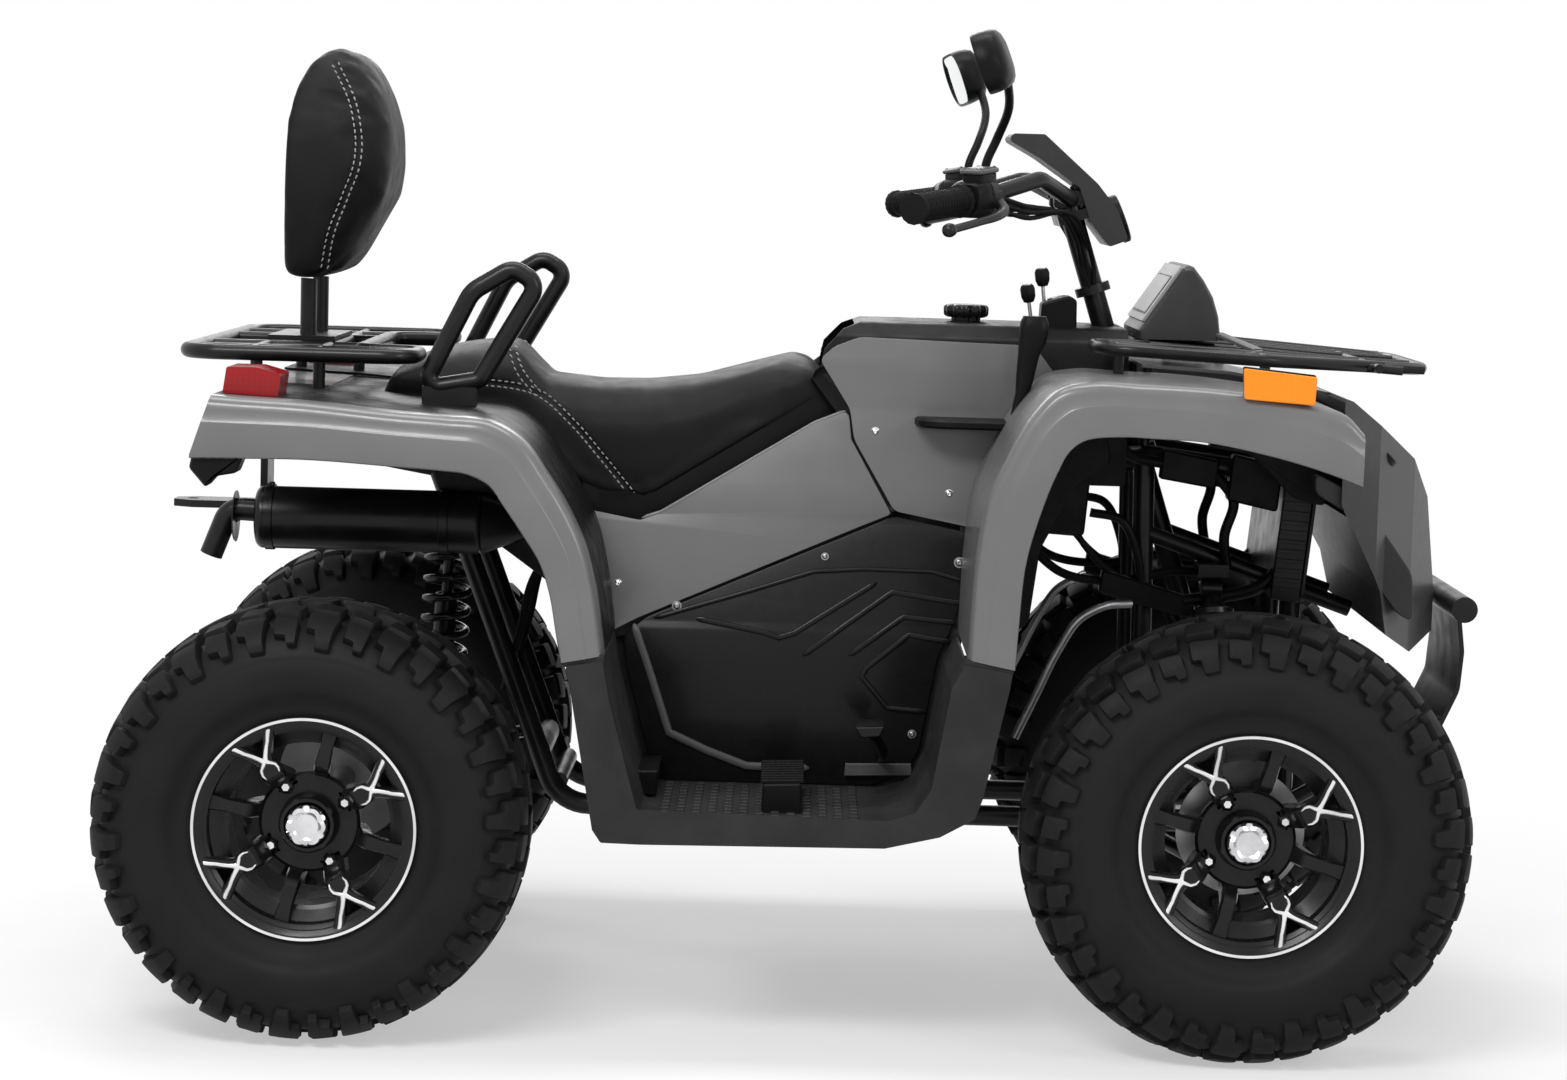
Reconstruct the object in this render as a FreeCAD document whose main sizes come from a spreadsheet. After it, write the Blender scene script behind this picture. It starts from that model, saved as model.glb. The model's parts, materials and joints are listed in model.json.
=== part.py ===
"""A utility quad bike with a two-up seat, backrest, front and rear racks, footwells and a handlebar lamp.

Lengths are in millimetres. X runs forward, Y to the rider's left and Z up. The origin is on the
ground under the middle of the overall length, so the rear tyres end as far behind it as the front
bumper reaches ahead of it. Right-hand pieces are drawn at negative Y and mirrored for the left.
"""

import FreeCAD
import Part

import math
import os

from FreeCAD import Placement, Rotation, Vector

SIZES = (
    # wheels and axles
    ("wheelbase", 1180, "front axle to rear axle"),
    ("rear_axle_x", -613, "rear axle, from the origin"),
    ("rear_tyre_radius", 277, "rear tyre, to the tips of its lugs"),
    ("rear_tyre_width", 254, "rear tyre, across the sidewalls"),
    ("rear_wheel_y", 403, "middle of a rear tyre, from the centre plane"),
    ("front_tyre_radius", 286, "front tyre, to the tips of its lugs"),
    ("front_tyre_width", 178, "front tyre, across the sidewalls"),
    ("front_wheel_y", 415, "middle of a front tyre, from the centre plane"),
    ("rear_rim_half", 101, "half the width of a rear rim between its flanges"),
    ("front_rim_half", 70, "half the width of a front rim between its flanges"),
    ("shoulder_radius", 222, "where the sidewall meets the tread blocks"),
    ("bead_radius", 127, "bead seat of the rims"),
    ("lip_radius", 141, "outer lip of the rims"),
    ("lip_thickness", 6, "thickness of a rim flange"),
    ("well_radius", 108, "drop centre of the rims"),
    ("rim_wall", 5, "wall of the rim barrel"),
    ("dish_depth", 58, "from the outer lip in to the hub face"),
    ("hub_pad_radius", 58, "flat centre of the wheel"),
    ("hub_pad_thickness", 12, "thickness of that centre"),
    ("fork_angle", 29.5, "first forked spoke, in degrees from straight ahead"),
    ("cap_radius", 27, "centre cap"),
    ("cap_height", 34, "how far the cap stands out of the hub face"),
    ("tyre_wall", 12, "tyre carcass"),
    ("tread_wall", 20, "tyre under the tread"),
    # front axle
    ("kingpin_y", 328, "kingpin, from the centre plane"),
    ("kingpin_half", 58, "half the height of the upright"),
    ("upright_half", 20, "half the width of the upright"),
    ("spindle_radius", 12, "stub axle"),
    ("running_gap", 0.3, "clearance of a turning fit, on the radius"),
    ("disc_radius", 82, "front brake disc"),
    ("disc_thickness", 4, "brake discs"),
    ("steer_arm", 92, "kingpin to the outer tie rod ball"),
    ("pitman_arm", 80, "steering column to the inner tie rod ball"),
    ("tie_rod_z", 304, "height of the tie rods"),
    ("arm_tube", 22, "diameter of the wishbone tubes"),
    ("lower_pivot_z", 240, "inner pivots of the lower wishbones"),
    ("upper_pivot_z", 392, "inner pivots of the upper wishbones"),
    ("arm_pivot_gap", 0.3, "between the wishbone pivots and the frame sides"),
    ("arm_spread", 95, "half the distance between a wishbone's inner pivots"),
    ("arm_eye", 16, "radius of the wishbones' inner eyes"),
    ("ball_radius", 15, "ball joint housings"),
    ("ball_pin", 8, "ball joint pins"),
    # rear axle
    ("axle_radius", 16, "rear axle shaft"),
    ("carrier_radius", 38, "rear axle carrier"),
    ("carrier_half", 74, "half the length of the carrier"),
    ("sprocket_radius", 92, "rear sprocket"),
    ("rear_disc_radius", 88, "rear brake disc"),
    ("drive_y", 98, "planes of the sprocket and of the rear brake disc"),
    ("swing_pivot_x", -325, "swingarm pivot"),
    ("swing_pivot_z", 318, "height of the swingarm pivot"),
    ("spring_radius", 29, "coil springs, outside"),
    ("spring_wire", 9, "coil spring wire"),
    # steering
    ("column_rake", 18, "steering column, in degrees back from upright"),
    ("column_x", 388, "steering column axis, where it passes the top of the console"),
    ("column_z", 946, "height of that point"),
    ("column_radius", 15, "steering column"),
    ("bar_z", 1082, "handlebar clamp"),
    ("bar_tube", 22, "handlebar diameter"),
    ("grip_end_x", 124, "end of a grip"),
    ("grip_end_y", 402, "end of a grip, from the centre plane"),
    ("grip_end_z", 1066, "height of the end of a grip"),
    ("grip_radius", 17, "grips"),
    ("grip_length", 125, "grips"),
    ("mirror_width", 150, "mirror heads"),
    ("mirror_height", 92, "mirror heads"),
    ("mirror_depth", 24, "mirror heads"),
    ("mirror_y", 392, "middle of a mirror head, from the centre plane"),
    ("mirror_x", 212, "middle of a mirror head"),
    ("mirror_z", 1252, "height of the middle of a mirror head"),
    # frame
    ("frame_tube", 28, "main frame tubes"),
    ("frame_y", 106, "frame sides, from the centre plane"),
    ("lower_rail_z", 250, "lower frame rails"),
    ("seat_rail_z", 700, "rear frame rails under the seat"),
    ("front_post_x", 462, "front frame, rear uprights"),
    ("nose_post_x", 655, "front frame, front uprights"),
    ("front_post_top", 752, "top of the front frame uprights"),
    # body panels
    ("panel", 4, "wall of the moulded panels"),
    ("seam", 2, "gap between neighbouring panels"),
    ("flare_y", 500, "outer face of the wheel arches, from the centre plane"),
    ("flare_height", 68, "height of the painted arch bands"),
    ("post_depth", 66, "how far the arch posts reach inwards"),
    ("front_deck_z", 860, "top of the front fender"),
    ("rear_deck_z", 811, "top of the rear fender at its rear edge"),
    ("rear_tail_x", -737, "rear edge of the rear fender"),
    ("floor_z", 300, "top of the footwell floor"),
    ("rail_bottom_z", 269, "underside of the footwell side rail"),
    ("post_top_z", 500, "where the painted arch posts meet the dark footwell posts"),
    ("body_y", 196, "side covers of the engine bay, from the centre plane"),
    ("waist_y", 150, "upper edge of the side panels, from the centre plane"),
    ("tank_top_z", 912, "top of the tank cover"),
    ("tank_half", 128, "half the width of the tank cover"),
    ("seat_half", 158, "half the width of the seat"),
    ("seat_top_z", 811, "rider's part of the seat"),
    ("pillion_z", 862, "passenger's part of the seat"),
    # racks
    ("rack_tube", 20, "rear rack tubes"),
    ("rear_rack_z", 858, "rear rack"),
    ("rear_rack_half", 325, "half the width of the rear rack"),
    ("rear_rack_end", -813, "rear end of the rear rack"),
    ("rear_rack_front", -510, "front end of the rear rack"),
    ("front_rack_tube", 16, "front rack tubes"),
    ("front_rack_z", 884, "front rack"),
    ("front_rack_half", 298, "half the width of the front rack"),
    ("front_rack_nose", 815, "front end of the front rack"),
    ("handle_tube", 24, "grab handle tubes"),
    ("handle_y", 282, "grab handles, from the centre plane"),
    ("pad_half", 165, "half the width of the backrest pad"),
    ("pad_top_z", 1266, "top of the backrest pad"),
    ("pad_bottom_z", 946, "bottom of the backrest pad"),
    # other pieces
    ("muffler_radius", 41, "muffler"),
    ("muffler_y", 195, "muffler, from the centre plane"),
    ("muffler_z", 636, "height of the muffler's axis"),
    ("bumper_front", 890, "foremost face of the front bumper"),
    ("bumper_tube", 34, "cross tube of the front bumper"),
    ("bumper_half", 228, "half the length of that tube"),
    ("bumper_tube_z", 562, "height of that tube"),
    ("tow_plate_thickness", 10, "tow plate"),
    ("tow_hole_radius", 8.25, "pin hole of the tow plate"),
    ("engine_half", 118, "half the width of the engine"),
    ("lever_x", 268, "foot of the gear lever"),
    ("lever_y", 222, "gear lever, from the centre plane"),
)

doc = FreeCAD.newDocument("quad_bike")
sheet = doc.addObject("Spreadsheet::Sheet", "Sizes")
for row, (alias, number, meaning) in enumerate(SIZES, 1):
    sheet.set(f"A{row}", meaning)
    sheet.set(f"B{row}", str(number))
    sheet.setAlias(f"B{row}", alias)
doc.recompute()


class Size(float):
    """A number that remembers the sheet formula it came from, so a property can be bound to it."""

    def __new__(cls, number, text=None):
        made = float.__new__(cls, number)
        made.text = text or repr(float(number))
        return made

    def __add__(self, other):
        return Size(float(self) + float(other), f"({self.text} + {text_of(other)})")

    def __radd__(self, other):
        return Size(float(other) + float(self), f"({text_of(other)} + {self.text})")

    def __sub__(self, other):
        return Size(float(self) - float(other), f"({self.text} - {text_of(other)})")

    def __rsub__(self, other):
        return Size(float(other) - float(self), f"({text_of(other)} - {self.text})")

    def __mul__(self, other):
        return Size(float(self) * float(other), f"({self.text} * {text_of(other)})")

    def __rmul__(self, other):
        return Size(float(other) * float(self), f"({text_of(other)} * {self.text})")

    def __truediv__(self, other):
        return Size(float(self) / float(other), f"({self.text} / {text_of(other)})")

    def __neg__(self):
        return Size(-float(self), f"(0 - {self.text})")


def text_of(number):
    """The formula of a Size, or the digits of a plain number."""
    return number.text if isinstance(number, Size) else repr(float(number))


def named(alias):
    """The sheet's value for an alias."""
    return Size(float(getattr(sheet, alias)), f"Sizes.{alias}")


def bind(item, **properties):
    """Sets properties of a document object, each bound to its sheet formula where it has one."""
    for name, number in properties.items():
        path = name.replace("__", ".")
        if isinstance(number, Size):
            item.setExpression(path, number.text)
        else:
            setattr(item, path, number)
    return item


def place(item, x=0.0, y=0.0, z=0.0, axis=(0, 0, 1), degrees=0.0):
    """Places an object, with its base point bound to the sheet where the coordinates are."""
    item.Placement = Placement(Vector(x, y, z), Rotation(Vector(*axis), float(degrees)))
    for name, number in (("x", x), ("y", y), ("z", z)):
        if isinstance(number, Size):
            item.setExpression(f"Placement.Base.{name}", number.text)
    return item


def box(name, low, high):
    """A block between two corners."""
    item = doc.addObject("Part::Box", name)
    bind(item, Length=Size(1) * (high[0] - low[0]), Width=Size(1) * (high[1] - low[1]),
         Height=Size(1) * (high[2] - low[2]))
    return place(item, *low)


def rod(name, start, end, radius):
    """A round bar between two points."""
    item = doc.addObject("Part::Cylinder", name)
    begin, finish = Vector(*start), Vector(*end)
    bind(item, Radius=Size(1) * radius, Height=(finish - begin).Length)
    item.Placement = Placement(begin, Rotation(Vector(0, 0, 1), finish - begin))
    return item


def fused(name, *parts):
    """Several overlapping objects made into one."""
    item = doc.addObject("Part::MultiFuse", name)
    item.Shapes = list(parts)
    item.Refine = True
    return item


def cut(name, base, tool):
    """One object with another taken out of it."""
    item = doc.addObject("Part::Cut", name)
    item.Base, item.Tool = base, tool
    return item


def feature(name, shape):
    """A document object around a worked-out shape."""
    item = doc.addObject("Part::Feature", name)
    item.Shape = shape
    return item


def mirrored(name, source):
    """The left-hand twin of a right-hand piece."""
    item = doc.addObject("Part::Mirroring", name)
    item.Source = source
    item.Base = Vector(0, 0, 0)
    item.Normal = Vector(0, 1, 0)
    return item


def both_sides(name, right):
    """One node that holds a right-hand piece and its left-hand twin, as separate solids."""
    item = doc.addObject("Part::Compound", name)
    item.Links = [right, mirrored(f"{name}_twin", right)]
    return item


def corner(before, at, after, radius):
    """Start, middle and end of the arc that rounds a corner."""
    back, ahead = (before - at).normalize(), (after - at).normalize()
    half = back.getAngle(ahead) / 2
    reach = radius / math.tan(half)
    middle = (back + ahead).normalize() * (radius / math.sin(half) - radius)
    return at + back * reach, at + middle, at + ahead * reach


def rounded(points, radius, closed=False):
    """A wire through points, its corners rounded. radius is one number, or one for each point."""
    count = len(points)
    radii = list(radius) if isinstance(radius, (list, tuple)) else [radius] * count
    points = [Vector(*p) for p in points]
    edges, first, last = [], None, None
    for i, at in enumerate(points):
        ends_here = not closed and i in (0, count - 1)
        before, after = points[i - 1], points[(i + 1) % count]
        straight = ends_here or radii[i] <= 0 or (before - at).getAngle(after - at) > math.pi - 1e-3
        start, middle, end = (at, at, at) if straight else corner(before, at, after, radii[i])
        if last is not None and (start - last).Length > 1e-6:
            edges.append(Part.LineSegment(last, start).toShape())
        if not straight:
            edges.append(Part.Arc(start, middle, end).toShape())
        first = start if first is None else first
        last = end
    if closed and (first - last).Length > 1e-6:
        edges.append(Part.LineSegment(last, first).toShape())
    return Part.Wire(edges)


def tube(points, diameter, bend):
    """A bent round tube, solid, along runs joined by arcs."""
    path = rounded(points, bend)
    first = Vector(*points[1]) - Vector(*points[0])
    ring = Part.Wire(Part.Circle(Vector(*points[0]), first, diameter / 2).toShape())
    return path.makePipeShell([ring], True, False)


def side_outline(points, radius, y):
    """A closed outline seen from the side, at one Y."""
    return rounded([(x, y, z) for x, z in points], radius, closed=True)


def slab(points, radius, y_from, y_to):
    """A side outline made as thick as the distance from y_from to y_to."""
    face = Part.Face(side_outline(points, radius, y_from))
    return face.extrude(Vector(0, y_to - y_from, 0))


def offset_line(points, distance):
    """An open side-view polyline moved sideways, to the left of its direction of travel."""
    moved = []
    for i, (x, z) in enumerate(points):
        directions = []
        if i:
            directions.append(Vector(x - points[i - 1][0], z - points[i - 1][1], 0).normalize())
        if i < len(points) - 1:
            directions.append(Vector(points[i + 1][0] - x, points[i + 1][1] - z, 0).normalize())
        normals = [Vector(-d.y, d.x, 0) for d in directions]
        middle = sum(normals[1:], normals[0]).normalize()
        reach = distance / middle.dot(normals[0])
        moved.append((x + middle.x * reach, z + middle.y * reach))
    return moved


def strip(points, radii, thickness, y_from, y_to):
    """A bent sheet: an open side-view line given a thickness and carried from y_from to y_to."""
    other = offset_line(points, -thickness)
    inner = [max(0.0, r - thickness) if r > 0 else 0.0 for r in radii]
    return slab(list(points) + other[::-1], list(radii) + inner[::-1], y_from, y_to)


def sketch_on(body, role, points):
    """A closed sketch on one of the body's origin planes, each corner bound to the sheet."""
    sketch = body.newObject("Sketcher::SketchObject", f"{body.Name}_sketch")
    plane = [o for o in body.Origin.OriginFeatures if o.Role == role][0]
    sketch.AttachmentSupport = [(plane, "")]
    sketch.MapMode = "FlatFace"
    add_loop(sketch, points)
    return sketch


def add_loop(sketch, points):
    """Adds one closed loop of lines to a sketch and ties its corners to the sheet."""
    import Sketcher

    start = sketch.GeometryCount
    ends = [Vector(float(a), float(b), 0) for a, b in points]
    for i, here in enumerate(ends):
        sketch.addGeometry(Part.LineSegment(here, ends[(i + 1) % len(ends)]), False)
    for i, (a, b) in enumerate(points):
        line = start + i
        following = start + (i + 1) % len(points)
        sketch.addConstraint(Sketcher.Constraint("Coincident", line, 2, following, 1))
        for kind, number in (("DistanceX", a), ("DistanceY", b)):
            index = sketch.addConstraint(
                Sketcher.Constraint(kind, -1, 1, line, 1, float(number))
            )
            if isinstance(number, Size) and "Sizes." in number.text:
                sketch.setExpression(f"Constraints[{index}]", number.text)


def turned(body, points):
    """A solid of revolution about the body's own Y axis. points are (radius, y)."""
    sketch = sketch_on(body, "XY_Plane", points)
    turn = body.newObject("PartDesign::Revolution", f"{body.Name}_turn")
    turn.Profile = sketch
    turn.ReferenceAxis = (sketch, ["V_Axis"])
    turn.Angle = 360
    return turn


def new_body(name):
    return doc.addObject("PartDesign::Body", name)


front_axle_x = named("rear_axle_x") + named("wheelbase")
front_axle_z = named("front_tyre_radius")
rear_axle_x = named("rear_axle_x")
rear_axle_z = named("rear_tyre_radius")
panel = named("panel")
seam = named("seam")
flare = named("flare_y")


# wheels


def spun(points):
    """A ring turned about the Y axis from a closed outline of (radius, y) points."""
    corners = [Vector(float(r), float(y), 0) for r, y in points]
    return Part.Face(Part.makePolygon(corners + corners[:1])).revolve(Vector(0, 0, 0), Vector(0, 1, 0), 360)


def both_ways(points):
    """An outline's half in (radius, y) followed by its mirror image, so that it closes on itself."""
    return list(points) + [(r, -y) for r, y in points[::-1]]


def tyre(name, radius, width, rim_half, x, y, z):
    """A hollow tyre: beads, rounded sidewalls, shoulders and a crowned tread."""
    half, wall, under = width / 2, named("tyre_wall"), named("tread_wall")
    bead, shoulder, lip = named("bead_radius") + named("running_gap"), named("shoulder_radius"), named("lip_radius") + 4
    edge = rim_half - named("running_gap")
    outside = [
        (bead, -edge), (lip, -edge), (lip + 12, 9 - half), (lip + 32, 1 - half), (lip + 52, -half),
        (shoulder, 4 - half), (radius - 30, 12 - half), (radius - 14, 22 - half), (radius - 4, 40 - half), (radius, -30),
    ]
    inside = [
        (radius - under, 30), (radius - under - 4, half - 44), (shoulder + 12, half - wall - 12),
        (lip + 52, half - wall - 2), (lip + 8, edge - wall + 6), (bead, edge - wall),
    ]
    ring = spun(both_ways(outside)).cut(spun(both_ways(inside)))
    return place(feature(name, ring), x, y, z)


def polar(radius, degrees):
    """A point of the wheel face at a radius and an angle from straight ahead."""
    angle = math.radians(degrees)
    return float(radius) * math.cos(angle), float(radius) * math.sin(angle)


def fork_plan(middle):
    """Corners of a forked spoke on the wheel face: a trunk that parts into two arms."""
    half = [(40, 16), (66, 11), (97, 5.5), (124, 14), (139, 14.5), (139, 9.5), (124, 8)]
    notch = [(106, 0)]
    return [polar(r, middle - a) for r, a in half + notch] + [polar(r, middle + a) for r, a in half[::-1]]


def plain_plan(middle):
    """Corners of a plain spoke on the wheel face."""
    half = [(40, 14), (70, 7.5), (139, 5)]
    return [polar(r, middle - a) for r, a in half] + [polar(r, middle + a) for r, a in half[::-1]]


def rim(name, half, x, y, z):
    """A cast wheel: barrel, dished spider with four forked and four plain spokes, and a centre cap."""
    lip, bead, well = named("lip_radius"), named("bead_radius"), named("well_radius")
    wall, flange = named("rim_wall"), named("lip_thickness")
    front = -(half + flange)
    barrel = spun([
        (lip, front), (lip, -half), (bead, -half), (bead, -(half - 22)), (well, -(half - 34)),
        (well, half - 34), (bead, half - 22), (bead, half), (lip, half), (lip, half + flange),
        (lip - wall, half + flange), (bead - wall, half - 4), (bead - wall, half - 26),
        (well - wall, half - 38), (well - wall, -(half - 38)), (bead - wall, -(half - 26)),
        (bead - wall, -(half - 4)), (lip - wall, front),
    ])
    pad, thick = named("hub_pad_radius"), named("hub_pad_thickness")
    face, reach = front + named("dish_depth"), bead - 1
    plate = spun([
        (0, face), (pad, face), (pad + 20, front + 16), (98, front + 9), (reach, front + 8),
        (reach, front + 21), (98, front + 23), (pad + 30, front + 30), (pad + 8, face + thick), (0, face + thick),
    ])
    middles = [named("fork_angle") + 90 * i for i in range(4)]
    plans = [fork_plan(m) for m in middles] + [plain_plan(m + 45) for m in middles]
    columns = []
    for plan in plans:
        corners = [Vector(a, float(front), b) for a, b in plan]
        columns.append(Part.Face(Part.makePolygon(corners + corners[:1])).extrude(Vector(0, 100, 0)))
    centre = Part.makeCylinder(pad, 100, Vector(0, front, 0), Vector(0, 1, 0))
    spider = plate.common(centre.fuse(columns))
    cap, tall = named("cap_radius"), named("cap_height")
    boss = spun([
        (0, face + 1), (cap + 10, face + 1), (cap + 8, face - tall / 2), (cap + 1, face - tall / 2), (cap, face - tall + 3),
        (cap - 3, face - tall), (0, face - tall),
    ])
    return place(feature(name, barrel.fuse([spider, boss])), x, y, z)


def front_hub(name, x, y, z):
    """Front hub with its flange and brake disc, bored for the stub axle."""
    half = named("front_rim_half")
    start = -(half + named("lip_thickness")) + named("dish_depth") + named("hub_pad_thickness")
    bore = named("spindle_radius") + named("running_gap")
    disc_in = Size(40)
    body = new_body(name)
    turned(body, [
        (bore, start), (named("hub_pad_radius"), start), (named("hub_pad_radius"), start + 9),
        (Size(30), start + 9), (Size(30), disc_in), (named("disc_radius"), disc_in),
        (named("disc_radius"), disc_in + named("disc_thickness")), (Size(26), disc_in + named("disc_thickness")),
        (Size(26), disc_in + 10), (bore, disc_in + 10),
    ])
    return place(body, x, y, z)


def front_wheel_pieces():
    """Right and left front tyre, rim and hub."""
    y = -named("front_wheel_y")
    right = [
        tyre("tyre_front_right", named("front_tyre_radius"), named("front_tyre_width"),
             named("front_rim_half"), front_axle_x, y, front_axle_z),
        rim("rim_front_right", named("front_rim_half"), front_axle_x, y, front_axle_z),
        front_hub("hub_front_right", front_axle_x, y, front_axle_z),
    ]
    return right + [mirrored(o.Name.replace("right", "left"), o) for o in right]


def rear_wheel_pieces():
    """Right and left rear tyre and rim."""
    y = -named("rear_wheel_y")
    right = [
        tyre("tyre_rear_right", named("rear_tyre_radius"), named("rear_tyre_width"),
             named("rear_rim_half"), rear_axle_x, y, rear_axle_z),
        rim("rim_rear_right", named("rear_rim_half"), rear_axle_x, y, rear_axle_z),
    ]
    return right + [mirrored(o.Name.replace("right", "left"), o) for o in right]


def rear_axle():
    """Solid rear axle with its wheel flanges, sprocket and brake disc."""
    hub_y = (named("rear_wheel_y") + (named("rear_rim_half") + named("lip_thickness"))
             - named("dish_depth") - named("hub_pad_thickness"))
    shaft, drive = named("axle_radius"), named("drive_y")
    seat = named("carrier_half") + 6
    body = new_body("rear_axle")
    turned(body, [
        (Size(0), -hub_y), (named("hub_pad_radius"), -hub_y), (named("hub_pad_radius"), 10 - hub_y),
        (Size(24), 10 - hub_y), (shaft, 60 - hub_y), (shaft, -(drive + 8)), (Size(40), -(drive + 8)),
        (Size(40), -(drive + 2)), (named("rear_disc_radius"), -(drive + 2)),
        (named("rear_disc_radius"), 2 - drive), (Size(28), 2 - drive), (Size(28), -seat), (shaft, -seat),
        (shaft, seat), (Size(28), seat), (Size(28), drive - 3), (named("sprocket_radius"), drive - 3),
        (named("sprocket_radius"), drive + 3), (Size(40), drive + 3), (Size(40), drive + 8), (shaft, drive + 8),
        (shaft, hub_y - 60), (Size(24), hub_y - 10), (named("hub_pad_radius"), hub_y - 10),
        (named("hub_pad_radius"), hub_y), (Size(0), hub_y),
    ])
    return place(body, rear_axle_x, 0.0, rear_axle_z)


# front suspension and steering


def knuckle():
    """Right steering knuckle: upright with ball pins, stub axle, steering arm and brake caliper."""
    x, z, y = front_axle_x, front_axle_z, -named("kingpin_y")
    tall, wide = named("kingpin_half"), named("upright_half")
    hub_inner = -named("front_wheel_y") + 40 + 10
    upright = box("knuckle_upright", (x - wide, y - 14, z - tall), (x + wide, y + 12, z + tall))
    pins = rod("knuckle_pins", (x, y, z - tall - 17), (x, y, z + tall + 17), named("ball_pin"))
    boss = rod("knuckle_boss", (x, hub_inner + 4, z), (x, y + 0.0, z), Size(27))
    outer_end = -named("front_wheel_y") - (named("front_rim_half") + named("lip_thickness")) + named("dish_depth")
    stub = rod("knuckle_stub", (x, y, z), (x, outer_end + named("hub_pad_thickness") + 1, z), named("spindle_radius"))
    arm_z = named("tie_rod_z") - 16
    arm = slab_arm("knuckle_arm", (x - wide / 2, y + 4), (x - named("steer_arm"), y + 6), arm_z, 22, 10)
    stud = rod("knuckle_stud", (x - named("steer_arm"), y + 6, arm_z - 5), (x - named("steer_arm"), y + 6, arm_z + 24), Size(6))
    disc_y = -named("front_wheel_y") + 40
    gap = 5
    caliper = feature("caliper_block", Part.makeBox(54, 34, 34, Vector(x - 27, disc_y - 16, z + 60)))
    slot = feature("caliper_slot", Part.makeBox(60, named("disc_thickness") + 2 * gap, 36,
                                                Vector(x - 30, disc_y - gap, z + 52)))
    held = box("caliper_mount", (x - 16, disc_y + 12, z + 34), (x + 16, y + 6, z + 56))
    lug = box("caliper_lug", (x - 16, disc_y + 11, z + 50), (x + 16, disc_y + 17, z + 74))
    return fused("knuckle_right", upright, pins, boss, stub, arm, stud, cut("caliper", caliper, slot), held, lug)


def slab_arm(name, start, end, z, width, thickness):
    """A flat lever between two points of the ground plan."""
    a, b = Vector(start[0], start[1], z - thickness / 2), Vector(end[0], end[1], z - thickness / 2)
    along = (b - a).normalize()
    side = Vector(-along.y, along.x, 0) * (width / 2)
    face = Part.Face(Part.makePolygon([a + side, b + side, b - side, a - side, a + side]))
    bar = face.extrude(Vector(0, 0, thickness))
    eye = Part.makeCylinder(width / 2, thickness, b)
    return feature(name, bar.fuse(eye).removeSplitter())


def arm_pivot_y():
    """Inner pivots of the wishbones, beside the frame sides."""
    return named("frame_y") + named("frame_tube") / 2 + named("arm_eye") + named("arm_pivot_gap")


def wishbones():
    """Right lower and upper wishbones with their ball joint housings, as two solids."""
    x, y = front_axle_x, -named("kingpin_y")
    tall, pin = named("kingpin_half"), named("ball_pin") + named("running_gap")
    made = []
    for level, pivot_z in ((-1, named("lower_pivot_z")), (1, named("upper_pivot_z"))):
        joint_z = front_axle_z + level * (tall + 10)
        legs = [
            tube([(x + s * named("arm_spread"), -arm_pivot_y(), pivot_z),
                  (x + s * 6, y + 14, joint_z)], named("arm_tube"), 0)
            for s in (-1, 1)
        ]
        cup = Part.makeCylinder(named("ball_radius"), 18, Vector(x, y, joint_z - 9))
        eyes = [Part.makeCylinder(named("arm_eye"), 44, Vector(x + s * named("arm_spread") - 22, -arm_pivot_y(), pivot_z),
                                  Vector(1, 0, 0)) for s in (-1, 1)]
        brace_y = (y - arm_pivot_y()) / 2 - (10 if level > 0 else 2)
        brace = tube([(x - named("arm_spread") * 0.5, brace_y, (pivot_z + joint_z) / 2),
                      (x + named("arm_spread") * 0.5, brace_y, (pivot_z + joint_z) / 2)], 14, 0)
        arm = legs[0].fuse([legs[1], cup, brace] + eyes)
        hole = Part.makeCylinder(pin, 60, Vector(x, y, joint_z - 30))
        keep_out = Part.makeBox(2 * named("upright_half") + 60, 90, 2 * tall + 1,
                                Vector(x - named("upright_half") - 30, y - 60, front_axle_z - tall - 0.5))
        made.append(arm.cut([hole, keep_out]))
    return both_sides("wishbones", feature("wishbones_right", Part.makeCompound(made)))


def shock(name, bottom, top, radius, wire, turns, eye):
    """A damper with a coil spring round it and an eye at each end, as one solid."""
    low, high = Vector(*bottom), Vector(*top)
    axis = high - low
    length = axis.Length
    body = Part.makeCylinder(radius * 0.5, length * 0.5, Vector(0, 0, length * 0.12))
    shaft = Part.makeCylinder(radius * 0.26, length - 20, Vector(0, 0, 10))
    seat_low = Part.makeCylinder(radius, 7, Vector(0, 0, length * 0.14))
    seat_high = Part.makeCylinder(radius, 7, Vector(0, 0, length * 0.9))
    start, end = length * 0.14 + 5, length * 0.9 + 2
    pieces = [shaft, seat_low, seat_high]
    step = (end - start) / turns
    for i in range(turns):
        coil = Part.makeTorus(radius - wire / 2, wire / 2, Vector(0, 0, start + step * (i + 0.5)))
        pieces.append(coil)
    core = Part.makeCylinder(radius - wire * 0.7, end - start, Vector(0, 0, start))
    pieces.append(core)
    for height in (0, length):
        pieces.append(Part.makeCylinder(14, eye, Vector(0, -eye / 2, height), Vector(0, 1, 0)))
    made = body.fuse(pieces)
    made.Placement = Placement(low, Rotation(Vector(0, 0, 1), axis))
    return feature(name, made)


def on_column(distance, x=0.0, y=0.0):
    """A point at a distance up the steering column from its datum, and off its axis."""
    rake = math.radians(named("column_rake"))
    up = Vector(-math.sin(rake), 0, math.cos(rake))
    ahead = Vector(math.cos(rake), 0, math.sin(rake))
    return Vector(named("column_x"), 0, named("column_z")) + up * distance + ahead * x + Vector(0, y, 0)


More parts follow.
